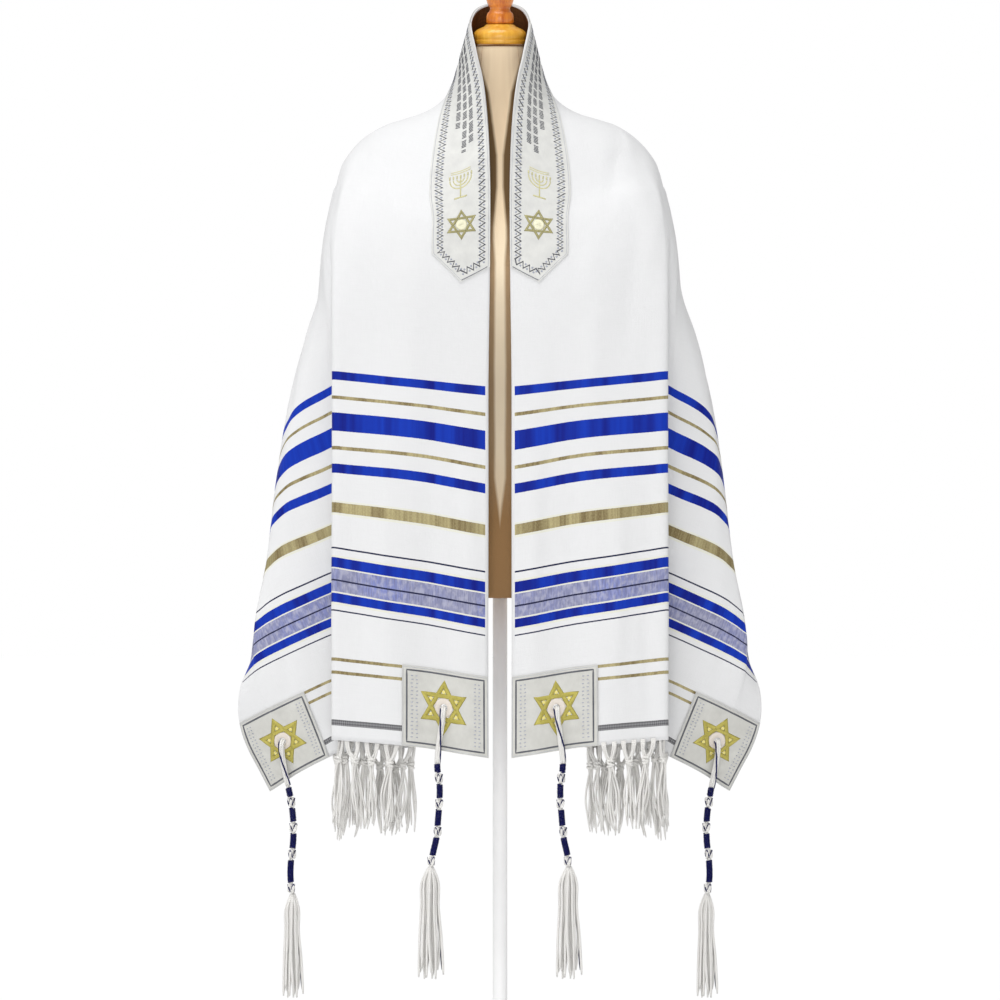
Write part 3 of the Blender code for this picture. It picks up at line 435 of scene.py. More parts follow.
def with_folds(point: Vector, span: int) -> Vector:
    """Moves a point in or out by the soft upright folds. The hidden front fold takes none.

    Args:
        point: The point on the smooth drape.
        span: The number of the guide line before it.

    Returns:
        The moved point.
    """
    if span == CREST:
        return point
    bearing = math.degrees(math.atan2(point.x, -point.y))
    outward = Vector((point.x, point.y, 0.0)).normalized()
    moved = point.copy()
    for fold in FOLDS:
        offset = (bearing - fold.bearing) / fold.width
        reach = 1.0 - smooth_step(fold.bottom, fold.top, point.z)
        moved += outward * fold.depth * reach * math.exp(-offset * offset)
    return moved


@dataclass
class Rest:
    """Lays a coarse net of cloth points on the dress form, as gently as cloth lies."""

    form: Piece
    rows: int
    columns: int
    clearance: float

    def faces(self) -> list[tuple[int, int, int]]:
        """Cuts the net into triangles.

        Returns:
            The numbers of each triangle's points.
        """
        found = []
        for i in range(self.rows - 1):
            for j in range(self.columns - 1):
                here, ahead = i * self.columns + j, (i + 1) * self.columns + j
                found += [(here, ahead, ahead + 1), (here, ahead + 1, here + 1)]
        return found

    def moves(self, points: list[Vector], surface: BVHTree) -> dict[int, Vector]:
        """How far each point has to move out to clear the form.

        Args:
            points: The net's points, row after row.
            surface: The form's surface.

        Returns:
            The move of each point that has one, by the point's number.
        """
        moves: dict[int, Vector] = {}
        for face in self.faces():
            a, b, c = (points[k] for k in face)
            for test in (a, b, c, (a + b) / 2, (b + c) / 2, (c + a) / 2, (a + b + c) / 3):
                nearest, normal, _, _ = surface.find_nearest(test)
                short = self.clearance - (test - nearest).dot(normal)
                for corner in face:
                    if short > moves.get(corner, Vector()).length:
                        moves[corner] = normal * short
        return moves

    def ease(self, points: list[Vector], touched: set[int]) -> None:
        """Evens out the touched points towards their neighbours.

        Args:
            points: The net's points, row after row, which are changed.
            touched: The numbers of the moved points and those beside them.
        """
        eased = {}
        for k in touched:
            i, j = divmod(k, self.columns)
            if not 0 < j < self.columns - 1 or not 0 < i < self.rows:
                continue
            beside = points[k - 1] + points[k + 1]
            if i == self.rows - 1:
                eased[k] = points[k].lerp(beside / 2, EASE_SHARE)
            else:
                around = (beside + points[k - self.columns] + points[k + self.columns]) / 4
                eased[k] = points[k].lerp(around, EASE_SHARE)
        for k, place in eased.items():
            points[k] = place

    def settle(self, points: list[Vector]) -> list[Vector]:
        """Moves the net out where it lies too near the form, and evens out what was moved.

        Args:
            points: The net's points, row after row, with the centre back in the last row.

        Returns:
            The points at rest.
        """
        surface = BVHTree.FromObject(self.form, bpy.context.evaluated_depsgraph_get())
        touched: set[int] = set()
        for rest_round in range(EASE_ROUNDS + REST_ROUNDS):
            for k, move in self.moves(points, surface).items():
                points[k] = points[k] + move
                touched |= {k - self.columns, k - 1, k, k + 1, k + self.columns}
            if rest_round < EASE_ROUNDS:
                self.ease(points, touched)
            for k in range((self.rows - 1) * self.columns, self.rows * self.columns):
                points[k].x = 0.0
        return points


class Crease(NamedTuple):
    """A soft crease: its two ends over the flat cloth, its half-width, and how far it stands out (or in)."""

    from_hem: float
    across: float
    to_hem: float
    to_across: float
    width: float
    depth: float


CREASES = tuple(Crease(*row) for row in (
    (0.06, 0.112, 0.3, 0.122, 0.01, 0.0018), (0.02, 0.152, 0.21, 0.146, 0.008, -0.0014),
    (0.24, 0.04, 0.47, 0.052, 0.011, -0.0016), (0.33, 0.086, 0.56, 0.098, 0.013, 0.002),
    (0.41, 0.128, 0.62, 0.14, 0.012, -0.0018), (0.12, 0.066, 0.26, 0.058, 0.007, 0.0012),
    (0.1, 0.022, 0.33, 0.026, 0.008, 0.0011), (0.47, 0.072, 0.64, 0.11, 0.012, 0.0014),
    (0.56, 0.088, 0.7, 0.15, 0.01, -0.0012), (0.52, 0.15, 0.66, 0.2, 0.011, 0.0013),
    (0.09, 0.432, 0.25, 0.396, 0.01, -0.0022), (0.06, 0.462, 0.3, 0.43, 0.009, 0.002),
    (0.18, 0.472, 0.38, 0.42, 0.012, 0.0022), (0.26, 0.372, 0.42, 0.33, 0.01, 0.0018),
    (0.3, 0.44, 0.46, 0.39, 0.012, -0.0022), (0.38, 0.35, 0.54, 0.3, 0.012, -0.002),
    (0.42, 0.43, 0.56, 0.36, 0.013, 0.0026), (0.52, 0.46, 0.64, 0.35, 0.014, -0.0026),
    (0.6, 0.48, 0.7, 0.33, 0.014, 0.0028), (0.66, 0.49, 0.74, 0.36, 0.013, -0.0024),
    (0.7, 0.47, 0.76, 0.28, 0.012, 0.0022), (0.735, 0.495, 0.79, 0.31, 0.013, -0.0026),
    (0.78, 0.48, 0.82, 0.3, 0.014, 0.0024), (0.815, 0.496, 0.85, 0.26, 0.013, -0.002),
    (0.855, 0.48, 0.88, 0.3, 0.012, 0.0022), (0.69, 0.2, 0.76, 0.12, 0.01, 0.0012),
    (0.74, 0.23, 0.83, 0.15, 0.011, -0.0012), (0.8, 0.14, 0.88, 0.11, 0.009, 0.001),
))

# The share of its width that a crease starts with, and the share that it gains by its end.
CREASE_START = 0.8
CREASE_FLARE = 0.4

# How far the left-hand creases are shifted, along and across, and how much shallower they are.
LEFT_SHIFT = (0.012, 0.006)
LEFT_LESS = 0.15

# Faint ripples, each by its ripples to the metre and its depth.
RIPPLES = ((5.0, 0.0016), (13.0, 0.0007), (34.0, 0.00022))


def finer(knots: Sequence[float], step: float) -> np.ndarray:
    """Places at about this step, with each knot among them.

    Args:
        knots: Rising places.
        step: About how far apart the places are.

    Returns:
        The places.
    """
    places = []
    for start, end in zip(knots, knots[1:]):
        count = max(1, math.ceil((end - start) / step))
        places += [start + (end - start) * i / count for i in range(count)]
    return np.array([*places, knots[-1]])


def cell_of(knots: np.ndarray, value: float) -> tuple[int, float]:
    """Finds the cell between two knots that holds a value.

    Args:
        knots: Rising numbers.
        value: A number between the first and the last.

    Returns:
        The cell's number, and the share of the way along it.
    """
    cell = min(max(int(np.searchsorted(knots, value)) - 1, 0), len(knots) - 2)
    return cell, (value - knots[cell]) / (knots[cell + 1] - knots[cell])


@dataclass
class DrapedCloth:
    """The middle surface of the draped cloth, which everything sewn to it takes its place from."""

    form: Piece
    from_hem: np.ndarray = field(init=False)
    across: np.ndarray = field(init=False)
    points: np.ndarray = field(init=False)
    normals: np.ndarray = field(init=False)

    def __post_init__(self) -> None:
        """Drapes the cloth, refines it and lets it rest on the form."""
        rows = [ClothRow(from_hem) for from_hem in ROWS]
        count = len(rows[0].steps())
        across, quiet, net = [], [], []
        for row in rows:
            for span, share in row.steps():
                distance, point = row.at(span, share)
                across.append(distance)
                quiet.append(row.shut if span == CREST else 0.0)
                net.append(with_folds(Vector(point), span))
        rest = Rest(self.form, len(rows), count, CLOTH_WALL / 2 + REST_GAP)
        half = np.array(rest.settle(net)).reshape(len(rows), count, 3)
        values = np.dstack([half, np.reshape(across, (-1, count)), np.reshape(quiet, (-1, count))])
        other = values[-2::-1] * np.array([-1, 1, 1, 1, 1])
        self.refine(np.concatenate([values, other]))

    def refine(self, values: np.ndarray) -> None:
        """Fills in the net with smooth curves, adds the creases, and lets the cloth rest again.

        Args:
            values: For each place of the coarse net its x, y and z, its distance across the cloth, and
                how far it is kept free of creases.
        """
        knots = np.array([*ROWS, *(SHAWL_LENGTH - row for row in ROWS[-2::-1])])
        rows = finer(knots, ROW_STEP)
        wide = values.reshape(len(knots), -1)
        values = curve_through(knots, wide, rows).reshape(len(rows), -1, 5)
        chords = np.linalg.norm(np.diff(values[:, :, :3], axis=1), axis=2).mean(axis=0)
        knots = np.concatenate([[0.0], np.cumsum(chords)])
        columns = finer(knots, COLUMN_STEP)
        wide = values.transpose(1, 0, 2).reshape(len(knots), -1)
        values = curve_through(knots, wide, columns).reshape(len(columns), len(rows), 5).transpose(1, 0, 2)
        self.from_hem, self.points = rows, values[:, :, :3].copy()
        self.across = np.maximum.accumulate(values[:, :, 3], axis=1)
        self.across += np.arange(len(columns)) * COLUMN_NUDGE
        self.find_normals()
        self.crease(1.0 - np.clip(values[:, :, 4], 0.0, 1.0))
        self.settle()
        self.find_normals()

    def find_normals(self) -> None:
        """Works out the outward direction at each point."""
        normals = np.cross(np.gradient(self.points, axis=1), np.gradient(self.points, axis=0))
        self.normals = normals / np.linalg.norm(normals, axis=2, keepdims=True)

    def crease(self, share: np.ndarray) -> None:
        """Moves the points by the soft creases and by faint ripples, alike on both sides but not the same.

        Args:
            share: How much of the creases each point takes.
        """
        offset = np.zeros_like(self.across)
        for side in (0, 1):
            hem = np.abs(self.from_hem - side * SHAWL_LENGTH)[:, None] + LEFT_SHIFT[0] * side
            over = self.across + LEFT_SHIFT[1] * side
            for crease in CREASES:
                reach = np.array([crease.to_hem - crease.from_hem, crease.to_across - crease.across])
                along = (hem - crease.from_hem) * reach[0] + (over - crease.across) * reach[1]
                place = along / (reach @ reach)
                off = (hem - crease.from_hem) * reach[1] - (over - crease.across) * reach[0]
                width = crease.width * (CREASE_START + CREASE_FLARE * np.clip(place, 0, 1))
                off = off / math.sqrt(reach @ reach) / width
                fade = np.clip(1 - (2 * place - 1) ** 2, 0, 1)
                offset += crease.depth * fade * np.exp(-off * off) * (1.0 - LEFT_LESS * side)
        for i, row in enumerate(self.points):
            for j, point in enumerate(row):
                place = Vector(point)
                offset[i, j] += sum(depth * noise.noise(place * scale) for scale, depth in RIPPLES)
        self.points += self.normals * (offset * share)[:, :, None]

    def settle(self) -> None:
        """Moves the points that lie too near the form out until they clear it."""
        surface = BVHTree.FromObject(self.form, bpy.context.evaluated_depsgraph_get())
        for _ in range(SETTLE_ROUNDS):
            moves = np.zeros_like(self.points)
            for i, row in enumerate(self.points):
                for j, point in enumerate(row):
                    nearest, normal, _, _ = surface.find_nearest(Vector(point), SETTLE_REACH)
                    if nearest is None:
                        continue
                    short = CLOTH_WALL / 2 + REST_GAP - (Vector(point) - nearest).dot(normal)
                    if short > 0:
                        moves[i, j] = normal * short
            self.points += moves

    def row_place(self, row: int, across: float) -> tuple[np.ndarray, np.ndarray]:
        """The point and normal at a distance across one row of the net.

        Args:
            row: The row's number.
            across: The distance from the neck edge.

        Returns:
            The point and the outward direction there.
        """
        column, share = cell_of(self.across[row], across)
        pair, weights = slice(column, column + 2), np.array([1 - share, share])
        return weights @ self.points[row, pair], weights @ self.normals[row, pair]

    def place(
        self, from_hem: float, across: float, lift: float = 0.0, mirrored: bool = False,
    ) -> tuple[Vector, Vector]:
        """A place on the cloth.

        Args:
            from_hem: The distance from the right-hand hem.
            across: The distance from the neck edge.
            lift: How far out from the middle of the cloth.
            mirrored: Whether the distance is from the left-hand hem.

        Returns:
            The point and the outward direction there.
        """
        if mirrored:
            from_hem = SHAWL_LENGTH - from_hem
        row, share = cell_of(self.from_hem, from_hem)
        pairs = zip(self.row_place(row, across), self.row_place(row + 1, across))
        point, way = (Vector(first * (1 - share) + second * share) for first, second in pairs)
        way.normalize()
        return point + way * lift, way


@dataclass
class Stock:
    """The points and faces of one piece as it is made, with a measure in metres at each face corner."""

    points: list[Vector] = field(default_factory=list)
    faces: list[tuple[int, ...]] = field(default_factory=list)
    measures: list[Measure] = field(default_factory=list)
    finishes: list[int] = field(default_factory=list)

    def face(self, corners: Sequence[int], measures: Sequence[Measure], finish: int = 0) -> None:
        """Adds one face.

        Args:
            corners: The numbers of its points.
            measures: The measure at each corner.
            finish: The number of its finish on the piece.
        """
        self.faces.append(tuple(corners))
        self.measures += measures
        self.finishes.append(finish)

    def net(self, rows: Sequence[Sequence[Vector]], measures: Sequence[Sequence[Measure]]) -> None:
        """Adds an open net of four-sided faces.

        Args:
            rows: Its rows of points.
            measures: The measure at each point.
        """
        base, wide = len(self.points), len(rows[0])
        self.points += [point for row in rows for point in row]
        flat = [measure for row in measures for measure in row]
        for i in range(len(rows) - 1):
            for j in range(wide - 1):
                cell = (i * wide + j, (i + 1) * wide + j, (i + 1) * wide + j + 1, i * wide + j + 1)
                self.face([base + k for k in cell], [flat[k] for k in cell])

    def strand(
        self,
        path: Sequence[Vector],
        half_width: Union[float, Sequence[float]],
        sides: int = 6,
        half_height: Optional[float] = None,
        ways: Optional[Sequence[Vector]] = None,
        loop: bool = False,
        finish: int = 0,
    ) -> None:
        """Adds a thread or cord of round or oval section.

        Args:
            path: The points that its middle follows.
            half_width: Half its width, or one such number for each point.
            sides: The faces round it.
            half_height: Half its height where its section is oval.
            ways: The direction of its height at each point of the path.
            loop: Whether its end joins its start.
            finish: The number of its finish on the piece.
        """
        last, base = len(path) - 1, len(self.points)
        widths = half_width if isinstance(half_width, Sequence) else [half_width] * len(path)
        side = Vector((1.0, 0.0, 0.0))
        reach, reaches = 0.0, []
        for i, middle in enumerate(path):
            before = path[i - 1 if i or loop else 0]
            after = path[(i + 1) % len(path) if loop else min(i + 1, last)]
            along = (after - before).normalized()
            side = along.cross(ways[i]) if ways is not None else side - along * side.dot(along)
            if side.length < MIN_SIDE:
                side = along.orthogonal()
            side.normalize()
            up = side.cross(along)
            tall = half_height if half_height is not None else widths[i]
            for k in range(sides):
                turn = 2 * math.pi * k / sides
                offset = side * (widths[i] * math.cos(turn)) + up * (tall * math.sin(turn))
                self.points.append(middle + offset)
            reach += (middle - path[i - 1]).length if i else 0.0
            reaches.append(reach)
        girth = 2 * math.pi * max(widths)
        for i in range(len(path) if loop else last):
            after = (i + 1) % len(path)
            end = reaches[after] if after else reach + (path[0] - path[-1]).length
            for k in range(sides):
                turn = (k + 1) % sides
                corners = (i * sides + k, i * sides + turn, after * sides + turn, after * sides + k)
                low, high = girth * k / sides, girth * (k + 1) / sides
                spots = [(reaches[i], low), (reaches[i], high), (end, high), (end, low)]
                self.face([base + corner for corner in corners], spots, finish)
        if not loop:
            for ring, reach_here in ((0, 0.0), (last, reach)):
                cap = [base + ring * sides + k for k in range(sides)]
                self.face(cap[::-1] if ring == 0 else cap, [(reach_here, 0.0)] * sides, finish)

    def piece(self, name: str, *materials: Material) -> Piece:
        """Makes the piece.

        Args:
            name: The piece's name.
            materials: Its finishes, in the order of their numbers.

        Returns:
            The finished object, at the origin.
        """
        mesh = bpy.data.meshes.new(name)
        mesh.from_pydata([point.to_tuple() for point in self.points], [], self.faces)
        layer = mesh.uv_layers.new(name="measure")
        layer.data.foreach_set("uv", np.array(self.measures, dtype=np.float32).ravel())
        mesh.polygons.foreach_set("material_index", self.finishes)
        for material in materials:
            mesh.materials.append(material)
        mesh.shade_smooth()
        made = bpy.data.objects.new(name, mesh)
        bpy.context.scene.collection.objects.link(made)
        return made


def only(piece: Piece) -> None:
    """Makes one piece the only selected and the active one.

    Args:
        piece: The piece.
    """
    bpy.ops.object.select_all(action="DESELECT")
    piece.select_set(True)
    bpy.context.view_layer.objects.active = piece


def declare(piece: Piece, node: Optional[str] = None) -> Piece:
    """Hides the CAD node that a piece stands for, if it has one.

    Args:
        piece: The piece.
        node: The node that it replaces.

    Returns:
        The piece.
    """
    if node is not None:
        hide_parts(node)
    return piece


def edit_all() -> None:
    """Opens the active piece in edit mode, with all of it selected."""
    bpy.ops.object.mode_set(mode="EDIT")
    bpy.ops.mesh.select_all(action="SELECT")


def thicken(piece: Piece, wall: float) -> None:
    """Gives a net a wall, half to each side.

    Args:
        piece: The net, which is changed.
        wall: The wall's thickness.
    """
    only(piece)
    bpy.ops.object.modifier_add(type="SOLIDIFY")
    modifier = piece.modifiers[-1]
    modifier.thickness = wall
    modifier.offset = 0.0
    bpy.ops.object.modifier_apply(modifier=modifier.name)


@dataclass(frozen=True)
class Value:
    """A number or colour over a surface, worked out by nodes, which can stand in sums like a plain number."""

    shade: "Shade"
    socket: bpy.types.NodeSocket

    def __add__(self, other: Input) -> "Value":
        """The sum."""
        return self.shade.math("ADD", self, other)

    def __sub__(self, other: Input) -> "Value":
        """The difference."""
        return self.shade.math("SUBTRACT", self, other)

    def __rsub__(self, other: Input) -> "Value":
        """The difference from a plain number."""
        return self.shade.math("SUBTRACT", other, self)

    def __mul__(self, other: Input) -> "Value":
        """The product."""
        return self.shade.math("MULTIPLY", self, other)

    def __gt__(self, other: Input) -> "Value":
        """1 where it is greater, 0 elsewhere."""
        return self.shade.math("GREATER_THAN", self, other)

    def __lt__(self, other: Input) -> "Value":
        """1 where it is less, 0 elsewhere."""
        return self.shade.math("LESS_THAN", self, other)


class Shade:
    """A node tree that is filled in step by step, for a finish or for a shared effect."""

    def __init__(self, tree: bpy.types.NodeTree) -> None:
        """Takes the tree to fill in."""
        self.tree = tree

    def add(
        self, kind: str, inputs: Optional[dict[Union[int, str], Input]] = None, output: Union[int, str] = 0,
        **settings: str,
    ) -> Value:
        """Adds a node.

        Args:
            kind: Its type, without the word ShaderNode.
            inputs: What goes into its sockets, by name or number.
            output: The output to use.
            **settings: Its other settings.

        Returns:
            The output's value.
        """
        node = self.tree.nodes.new("ShaderNode" + kind)
        for name, value in settings.items():
            setattr(node, name, value)
        for name, value in (inputs or {}).items():
            self.feed(node.inputs[name], value)
        return Value(self, node.outputs[output])

    def feed(self, socket: bpy.types.NodeSocket, value: Input) -> None:
        """Joins a socket to a value's, or sets its number or colour.

        Args:
            socket: The socket, which is changed.
            value: What goes into it.
        """
        if isinstance(value, Value):
            self.tree.links.new(value.socket, socket)
        elif isinstance(value, tuple) and len(value) == 3 and socket.type == "RGBA":
            socket.default_value = (*value, 1.0)
        else:
            socket.default_value = value

    def math(self, operation: str, first: Input, second: Input = 0.0) -> Value:
        """The result of an operation on two numbers."""
        return self.add("Math", {0: first, 1: second}, operation=operation)

    def wave(self, value: Value, pitch: float) -> Value:
        """A wave from -1 to 1 and back for each pitch that a distance grows by."""
        return self.math("SINE", value * (2 * math.pi / pitch))

    def mix(self, share: Input, first: Input, second: Input) -> Value:
        """A blend of two colours."""
        return self.add("Mix", {0: share, 6: first, 7: second}, output=2, data_type="RGBA")

    def bands(self, place: Value, ranges: Sequence[Measure]) -> Value:
        """1 inside any of the ranges of a distance and 0 outside, as a set of woven stripes is.

        Args:
            place: The distance.
            ranges: Where each stripe starts and ends.

        Returns:
            The mask of the stripes.
        """
        mask: Input = 0.0
        for start, end in ranges:
            inside = {0: place, 1: (start + end) / 2, 2: (end - start) / 2}
            mask = self.math("ADD", mask, self.add("Math", inside, operation="COMPARE"))
        return mask

    def noise(self, place: Value, stretch: Sequence[float], detail: float = 2.0) -> Value:
        """Uneven values from 0 to 1, with about this many patches to the metre each way."""
        scaled = self.add("Mapping", {"Vector": place, "Scale": tuple(stretch)})
        return self.add("TexNoise", {"Vector": scaled, "Scale": 1.0, "Detail": detail}, output="Fac")

    def spread(self, value: Value, low: float, high: float, start: float = 0.0, end: float = 1.0) -> Value:
        """A value stretched from one range to another and held inside it."""
        return self.add("MapRange", {"Value": value, 1: low, 2: high, 3: start, 4: end})

    def clouds(self, place: Value, stretch: Sequence[float], detail: float, low: float, high: float) -> Value:
        """Patches of noise, from 0 at its low value to 1 at its high one."""
        return self.spread(self.noise(place, stretch, detail), low, high)

    def split(self, place: Value) -> tuple[Value, Value, Value]:
        """The three parts of a place."""
        x, y, z = self.add("SeparateXYZ", {0: place}).socket.node.outputs
        return Value(self, x), Value(self, y), Value(self, z)

    def measured(self) -> Value:
        """The place on the piece by its own measures, in metres."""
        return self.add("UVMap", uv_map="measure")

    def in_space(self) -> Value:
        """The place in the part's own space, in metres."""
        return self.add("TexCoord", output="Object")


class Finish(Shade):
    """A material, filled in step by step."""

    def __init__(self, name: str, sockets: dict[str, Input]) -> None:
        """Makes the material and sets its shader's sockets.

        Args:
            name: The material's name.
            sockets: What goes into the shader's sockets, by name.
        """
        self.material = bpy.data.materials.new(name)
        self.material.use_nodes = True
        super().__init__(self.material.node_tree)
        self.shader = self.tree.nodes["Principled BSDF"]
        self.set(sockets)

    def set(self, sockets: dict[str, Input]) -> None:
        """Feeds the shader's sockets."""
        for name, value in sockets.items():
            self.feed(self.shader.inputs[name], value)

    def bump(self, height: Value, distance: float, strength: float = 1.0) -> Material:
        """Joins a height to the shader's normal.

        Args:
            height: The height, in parts of the distance.
            distance: How far a height of 1 stands out.
            strength: The share of the bump to use.

        Returns:
            The material.
        """
        self.set({"Normal": self.add("Bump", {"Height": height, "Distance": distance, "Strength": strength})})
        return self.material


def fill_weave(shade: Shade, place: Value) -> tuple[Value, Value]:
    """A plain weave: threads along and across that pass over and under, with slubs.

    Args:
        shade: The tree to fill in.
        place: The place on the piece by its own measures.

    Returns:
        Its height and its tone.
    """
    over, along, _ = shade.split(place)
    slubs = shade.noise(place, (900.0, 60.0, 1.0)) + shade.noise(place, (45.0, 820.0, 1.0))
    height = shade.wave(over, 0.00105) * shade.wave(along, 0.00115) * 0.22 + slubs
    return height, shade.spread(slubs, 0.7, 1.3)


def fill_satin(shade: Shade, place: Value) -> tuple[Value, Value]:
    """A satin face: long floats along the piece, with faint woven clouds.

    Args:
        shade: The tree to fill in.
        place: The place on the piece by its own measures.

    Returns:
        Its height and its tone.
    """
    floats = shade.noise(place, (1500.0, 190.0, 1.0), 3.0)
    return floats, floats * 0.5 + shade.noise(place, (160.0, 130.0, 1.0), 3.0) * 0.5


def fill_ply(shade: Shade, place: Value) -> tuple[Value, Value]:
    """A plied yarn: slanting plies with fine hairs, measured along and round the strand.

    Args:
        shade: The tree to fill in.
        place: The place on the piece by its own measures.

    Returns:
        Its height and its tone.
    """
    along, around, _ = shade.split(place)
    height = shade.wave(along + around * 0.75, 0.0021) * 0.5 + shade.noise(place, (350.0, 2400.0, 1.0), 3.0)
    return height, shade.spread(height, -0.1, 1.2)


def fill_stitch(shade: Shade, place: Value) -> tuple[Value, Value]:
    """Satin stitch: close threads laid square across a line of embroidery.

    Args:
        shade: The tree to fill in.
        place: The place on the piece by its own measures.

    Returns:
        Its height and its tone.
    """
    height = shade.wave(shade.split(place)[0], 0.0007) * 0.4 + shade.noise(place, (1400.0, 300.0, 1.0))
    return height, shade.spread(height, -0.1, 1.1)


class Effect(Enum):
    """The surface effects that finishes share, each with its name and how its group is filled in."""

    WEAVE = ("plain_weave", fill_weave)
    SATIN = ("satin_floats", fill_satin)
    PLY = ("plied_yarn", fill_ply)
    STITCH = ("satin_stitch", fill_stitch)

    def group(self) -> bpy.types.NodeTree:
        """The effect's node group, from a place to a height and a tone, made on its first use.

        Returns:
            The group.
        """
        name, fill = self.value
        if name in bpy.data.node_groups:
            return bpy.data.node_groups[name]
        tree = bpy.data.node_groups.new(name, "ShaderNodeTree")
        tree.interface.new_socket("Place", in_out="INPUT", socket_type="NodeSocketVector")
        for output in ("Height", "Tone"):
            tree.interface.new_socket(output, in_out="OUTPUT", socket_type="NodeSocketFloat")
        shade = Shade(tree)
        results = fill(shade, Value(shade, tree.nodes.new("NodeGroupInput").outputs["Place"]))
        end = tree.nodes.new("NodeGroupOutput")
        for socket, result in zip(end.inputs, results):
            shade.feed(socket, result)
        return tree

    def on(self, shade: Shade, place: Value) -> tuple[Value, Value]:
        """Puts the effect into a tree.

        Args:
            shade: The tree that it goes into.
            place: The place.

        Returns:
            The height and the tone.
        """
        node = shade.tree.nodes.new("ShaderNodeGroup")
        node.node_tree = self.group()
        shade.feed(node.inputs["Place"], place)
        return Value(shade, node.outputs["Height"]), Value(shade, node.outputs["Tone"])


@dataclass(frozen=True)
class ShawlCloth:
    """White matt cloth with satin, metallic and brocade stripes woven in from each hem."""

    white: Colour = (0.750, 0.752, 0.758)
    shaded_white: Colour = (0.7125, 0.7144, 0.7201)
    blue: Colour = (0.003, 0.036, 0.42)
    deep_blue: Colour = (0.001, 0.007, 0.20)
    gold: Colour = (0.43, 0.375, 0.20)
    dark_gold: Colour = (0.17, 0.125, 0.055)
    lilac: Colour = (0.195, 0.23, 0.53)
    pale_lilac: Colour = (0.30, 0.305, 0.42)
    silver: Colour = (0.165, 0.17, 0.27)
    figured: Colour = (0.46, 0.46, 0.56)
    cream: Colour = (0.72, 0.71, 0.56)
    navy: Colour = (0.020, 0.022, 0.06)
    hem_greys: tuple[Colour, Colour] = ((0.085, 0.085, 0.09), (0.28, 0.28, 0.29))
    blue_ranges: tuple[Measure, ...] = (
        (0.1520, 0.1620), (0.1905, 0.2015), (0.2940, 0.3040), (0.3393, 0.3585), (0.3922, 0.4014),
    )
    gold_ranges: tuple[Measure, ...] = (
        (0.0728, 0.0764), (0.0872, 0.0908), (0.2508, 0.2620), (0.3192, 0.3230), (0.3723, 0.3757),
    )
    navy_ranges: tuple[Measure, ...] = ((0.1422, 0.1438), (0.1754, 0.1772), (0.2110, 0.2128))
    brocade_range: Measure = (0.1638, 0.1890)
    edging_ranges: tuple[Measure, ...] = (
        (0.1494, 0.1518), (0.1622, 0.1636), (0.1892, 0.1905), (0.2017, 0.2038), (0.2482, 0.2506),
        (0.2622, 0.2640),
    )
    hem_range: Measure = (0.0160, 0.0226)
    selvage: float = 0.0034

    def make(self) -> Material:
        """Makes the finish, whose pattern follows the cloth's own measures.

        Returns:
            The material.
        """
        finish = Finish("white_cloth", {"Sheen Weight": 0.06, "Specular IOR Level": 0.12})
        place = finish.measured()
        over, along, _ = finish.split(place)
        from_hem = finish.math("MINIMUM", along, SHAWL_LENGTH - along)
        drift = (finish.noise(place, (9.0, 9.0, 1.0)) - 0.5) * 0.0012
        ragged = (finish.noise(place, (900.0, 5.0, 1.0)) - 0.5) * 0.0006
        row = from_hem + (drift + ragged)
        ground = (over > self.selvage) * (over < SHAWL_WIDTH - self.selvage)

        def stripes(*ranges: Measure) -> Value:
            """The mask of a set of stripes, which stop at the selvages."""
            return finish.bands(row, ranges) * ground

        blue, gold, navy = stripes(*self.blue_ranges), stripes(*self.gold_ranges), stripes(*self.navy_ranges)
        brocade, hem = stripes(self.brocade_range), stripes(self.hem_range)
        thread_height, thread_tone = Effect.WEAVE.on(finish, place)
        colour = finish.mix(thread_tone * 0.5, self.shaded_white, self.white)
        fine = finish.clouds(place, (150.0, 2.0, 1.0), 3.0, 0.35, 0.68)
        cells = finish.clouds(place, (42.0, 1.2, 1.0), 1.0, 0.40, 0.52)
        colour = finish.mix(blue, colour, finish.mix(fine * 0.35 + cells * 0.65, self.deep_blue, self.blue))
        flecks = finish.clouds(place, (1100.0, 500.0, 1.0), 1.0, 0.38, 0.62)
        broad = finish.clouds(place, (48.0, 5.0, 1.0), 1.0, 0.40, 0.56)
        dashed = finish.clouds(place, (330.0, 9.0, 1.0), 1.0, 0.42, 0.56)
        glint = flecks * 0.25 + broad * 0.50 + dashed * 0.25
        colour = finish.mix(gold, colour, finish.mix(glint, self.dark_gold, self.gold))
        dashes = finish.clouds(place, (640.0, 60.0, 1.0), 2.0, 0.42, 0.60)
        figures = finish.spread(finish.noise(place, (230.0, 120.0, 1.0), 3.0), 0.45, 0.66, 0.0, 0.6)
        greyer = finish.spread(finish.noise(place, (14.0, 5.0, 1.0)), 0.40, 0.60, 0.2, 0.9)
        woven = finish.mix(dashes * 0.62, finish.mix(greyer, self.lilac, self.pale_lilac), self.silver)
        colour = finish.mix(brocade, colour, finish.mix(figures, woven, self.figured))
        colour = finish.mix(stripes(*self.edging_ranges) * 0.6, colour, self.cream)
        ticks = finish.spread(finish.wave(over, 0.0019), -0.4, 0.4)
        lines = finish.spread(finish.wave(row, 0.0032), -0.6, 0.6)
        colour = finish.mix(hem, colour, finish.mix((ticks + lines) * 0.5, *self.hem_greys))
        finish.set({
            "Base Color": finish.mix(navy, colour, self.navy),
            "Roughness": 0.86 - (blue * 0.34 + gold * 0.42 + brocade * 0.25),
            "Metallic": gold * (glint * 0.6),
        })
        raised = blue + gold + brocade * dashes
        return finish.bump(thread_height + raised * 0.7 + (1.0 - ground) * 0.8, 0.00022, 0.7)


